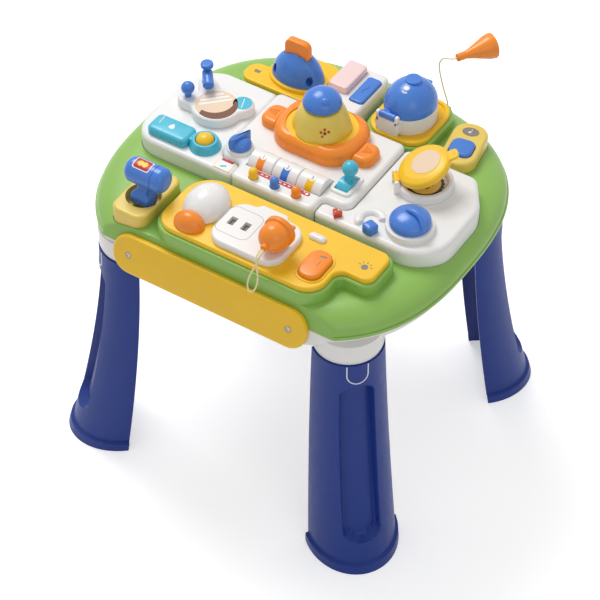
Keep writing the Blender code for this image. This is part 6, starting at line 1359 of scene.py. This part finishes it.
def make_lid(tilt):
    """The cup's lid about its hinge; +X of the tilted frame runs over the cup."""
    lid = turned("lid_shell", [
        (0.0, 0.01, 0), (0.024, 0.01, 0.01), (0.0325, 0.0072, 0.005), (0.0325, 0.0, 0.0018),
        (0.0278, 0.0, 0.0008), (0.0272, 0.007, 0.002), (0.0, 0.007, 0)])
    web = prism("web", rect(0.005, 0.0, 0.01, 0.014, 0.001), -LID_PIN / 2, LID_PIN / 2)
    tab = prism("tab", rect(0.0705, 0.0, 0.017, 0.0155, 0.0045), -0.0004, 0.0034, top=0.0012,
                foot=0.0008)
    pin = barrel("pin", LID_PIN, LID_HALF, 0.0005, 32)
    join(put(lid, tilt @ move(0.0362, 0.0, -LID_PIN)), put(pin, tilt @ roll(90, "X")),
         put(web, tilt), put(tab, tilt))
    wear(lid, "yellow", "cup_lid")
    patch = turned("lid_patch", [(0.0, 0.0104, 0), (0.018, 0.0104, 0.0003), (0.018, 0.0088, 0),
                                 (0.0, 0.0088, 0)])
    wear(put(patch, tilt @ move(0.0405, 0.0, -LID_PIN)), "skin", body="cup_lid")


# Music plate

def make_music():
    low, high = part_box("music_plate")
    plate = prism("music_cover", music_outline(), low.z, high.z, top=0.004)
    spin = Matrix.Rotation(MUSIC_TURN, 2)
    key = rect(*(MUSIC + spin @ Vector((0.0, -0.011))), 0.029, 0.03, 0.009, MUSIC_TURN)
    cut(plate, prism("well", offset(key, 0.0008), high.z - 0.0072, high.z + 0.01))
    wear(plate, "straw", "music_plate")
    wear(fill("music_cap", "music_key", key, 0.0005, top=0.003), "blue", "music_key")
    badge = MUSIC + spin @ Vector((0.0, 0.0215))
    note = badge + spin @ Vector((-0.001, -0.001))
    stem = note + spin @ Vector((0.0015, 0.003))
    oblong = [tuple(badge + spin @ Vector(p)) for p in oval(0.0, 0.0, 0.0105, 0.0078, 40)]
    print_rows("music_", (
        ("badge", oblong, 0.0, "grey"),
        ("note_head", oval(*note, 0.0018, 0.0014, 20), 0.0001, "paper"),
        ("note_stem", rect(*stem, 0.0006, 0.0062, 0.0002, MUSIC_TURN), 0.0001, "paper")), high.z)


# Back modules
TOASTER = Vector((-0.0915, 0.133))
TOASTER_HALF = (0.0355, 0.0245)
TOASTER_SIGN = (-0.1415, 0.1145)


def make_toaster():
    plate = prism("toaster_cover", toaster_outline(), BACK_PLINTH + GAP, BACK_PLATE, top=0.0022)
    hull = oval(*TOASTER, *TOASTER_HALF)
    join(plate, prism("collar", offset(hull, 0.0035), BACK_PLATE - 0.001, BACK_PLATE + 0.005,
                      top=0.0015))
    wear(plate, "yellow", "toaster_plate")
    half, deep = TOASTER_HALF
    body = dome("toaster_shell", half, 0.043, (*TOASTER, BACK_PLATE + GAP), 20,
                squeeze=deep / half, count=80)
    mouth = prism("mouth", rect(*TOASTER, 0.0354, 0.012, 0.003), BACK_PLATE + 0.013,
                  BACK_PLATE + 0.08)
    eyelets = [aim(prism("eyelet", oval(0.0, 0.0, 0.0042, 0.0063, 32), 0.0, 0.03),
                   (TOASTER.x + side * 0.62 * half, TOASTER.y - 0.006, BACK_PLATE + 0.0155),
                   (side * 0.35, -1.0, 0.0)) for side in (-1, 1)]
    cut(body, mouth, *eyelets)
    wear(body, "blue", "toaster_body")
    slice_outline = soften([(-0.017, 0.0, 0.003), (0.017, 0.0, 0.003), (0.017, 0.033, 0.009),
                            (-0.017, 0.033, 0.009)])
    toast = prism("toast_shell", slice_outline, 0.0, 0.0105, top=0.0018, foot=0.0018)
    put(toast, move(TOASTER.x, TOASTER.y + 0.00525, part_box("toast_slice")[0].z) @ roll(90, "X"))
    wear(toast, "orange", "toast_slice")
    sign = soften([(-0.0035, 0.0, 0.001), (0.0035, 0.0, 0.001), (0.0045, 0.0055, 0.0004),
                   (-0.0045, 0.0055, 0.0004)])
    x, y = TOASTER_SIGN
    print_on("toaster_sign", [(x + across, y + up) for across, up in sign], BACK_PLATE, "grey")


def make_keys():
    for node, look in (("pink_key", "pink"), ("blue_key", "blue")):
        wear(fill(node + "_cap", node, key_outline(node), 0.0003, top=0.0022), look, node)
    low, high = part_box("blue_key")
    x, y = (low.x + high.x) / 2, (low.y + high.y) / 2
    # The mark's darker blue is painted shade along a scribed line, not print
    stroke("blue_key_mark", [(x + 0.0016 * sin(pi * k / 5), y + 0.0014 * k, high.z - 0.0001)
                             for k in range(-5, 6)], 0.0004, "painted_blue_shade", "blue_key")


def make_cooker():
    ring = prism("cooker_cover", cooker_outline(), BACK_PLINTH + GAP, BACK_PLATE, top=0.0022)
    cut(ring, prism("pocket", offset(cooker_outline(), -0.0055), BACK_PLATE - 0.0025,
                    BACK_PLATE + 0.01))
    wear(ring, "yellow", "cooker_ring")
    x, y = COOKER.xy
    half, deep = COOKER_HALF
    seat = BACK_PLATE + GAP
    wall = soften([(POT_INSIDE, POT_RISE, 0), (half, POT_RISE, 0.0008), (half, -0.0027, 0.0006),
                   (0.0, -0.0027, 0)], closed=False)
    wall += [(0.0, 0.003), (POT_INSIDE, 0.003), (POT_INSIDE, POT_RISE)]
    body = lathe("cooker_shell", wall, (x, y, seat), squeeze=deep / half)
    rim = seat + POT_RISE + GAP
    hinge = Vector((x - 0.009, y - deep - 0.0038, rim + COOKER_PIN))
    bracket = prism("bracket", rect(hinge.x, hinge.y + 0.0014, 0.03, 0.0096, 0.0012),
                    seat - 0.0002, seat + POT_RISE, top=0.0008)
    side = ear_outline(0.0034, -0.01)
    join(body, bracket, *[
        put(prism("ear", side, 0.0, 0.004, top=0.0006, foot=0.0006),
            Matrix.Translation(hinge + Vector((shift * 0.013 - 0.002, 0.0, 0.0)))
            @ roll(90, "Z") @ roll(90, "X")) for shift in (-1, 1)])
    wear(body, "white", "cooker_body")
    make_cooker_lid(x, y, rim, hinge)


def make_cooker_lid(x, y, rim, hinge):
    half, deep = COOKER_HALF
    rise, thick = 0.033, 0.0024
    cover = arc(half, rise, 90, 0, 20) + [(0.0312, 0.0), (half - thick, 0.0)]
    cover += arc(half - thick, rise - thick, 0, 90, 20)[1:]
    lid = lathe("lid_cover", cover, (x, y, rim), squeeze=deep / half, count=80)
    web = prism("web", rect(hinge.x, hinge.y + 0.0055, 0.0175, 0.0085, 0.001), rim + 0.0012,
                rim + 0.005)
    vent = prism("vent", oval(x, y + 0.004, 0.01, 0.01), rim + rise - 0.004,
                 rim + rise + 0.0022, top=0.0012)
    grip = prism("grip", rect(x, y + deep - 0.0022, 0.018, 0.0075, 0.0022), rim + 0.008,
                 rim + 0.0124, top=0.0014, foot=0.0014)
    pin = aim(barrel("pin", COOKER_PIN, 0.0107, 0.0005, 32), hinge, (1.0, 0.0, 0.0))
    join(lid, pin, web, vent, grip)
    wear(lid, "blue", "cooker_lid")
    for index, (across, along, width, tall) in enumerate(
            ((0.0, -0.012, 0.0036, 0.003), (-0.0024, -0.0172, 0.0012, 0.0012),
             (0.0, -0.018, 0.0012, 0.0012), (0.0024, -0.0172, 0.0012, 0.0012))):
        share = sqrt(1 - (across / half) ** 2 - (along / deep) ** 2)
        normal = Vector((across / half ** 2, along / deep ** 2, share / rise))
        stud("lid_mark_" + str(index), (x + across, y + along, rim + rise * share), normal,
             width, tall, "paper", BODY_OF["cooker_lid"])


# Hidden parts

def make_hidden():
    door = fill("door_cover", "battery_door", rect(-0.08, 0.02, 0.092, 0.06, 0.004),
                foot=0.0006)
    wear(door, "white", "battery_door")
    for node, look in (("speaker", "black"), ("drum_axle", "steel")):
        item = frame["nodes"][node]
        for index in range(max(1, len(item.material_slots))):
            if item.material_slots:
                item.material_slots[index].material = LOOK[look]
            else:
                item.data.materials.append(LOOK[look])


PLUG = make_plug()
SCOOP = make_scoop()
make_cords(PLUG, SCOOP)
make_deck()
make_tray()
make_legs()
make_fascia()
make_living()
make_socket()
make_toggle()
make_left()
make_centre()
make_drums()
make_stick()
make_raft()
make_figure()
make_right()
make_music()
make_toaster()
make_keys()
make_cooker()
make_hidden()
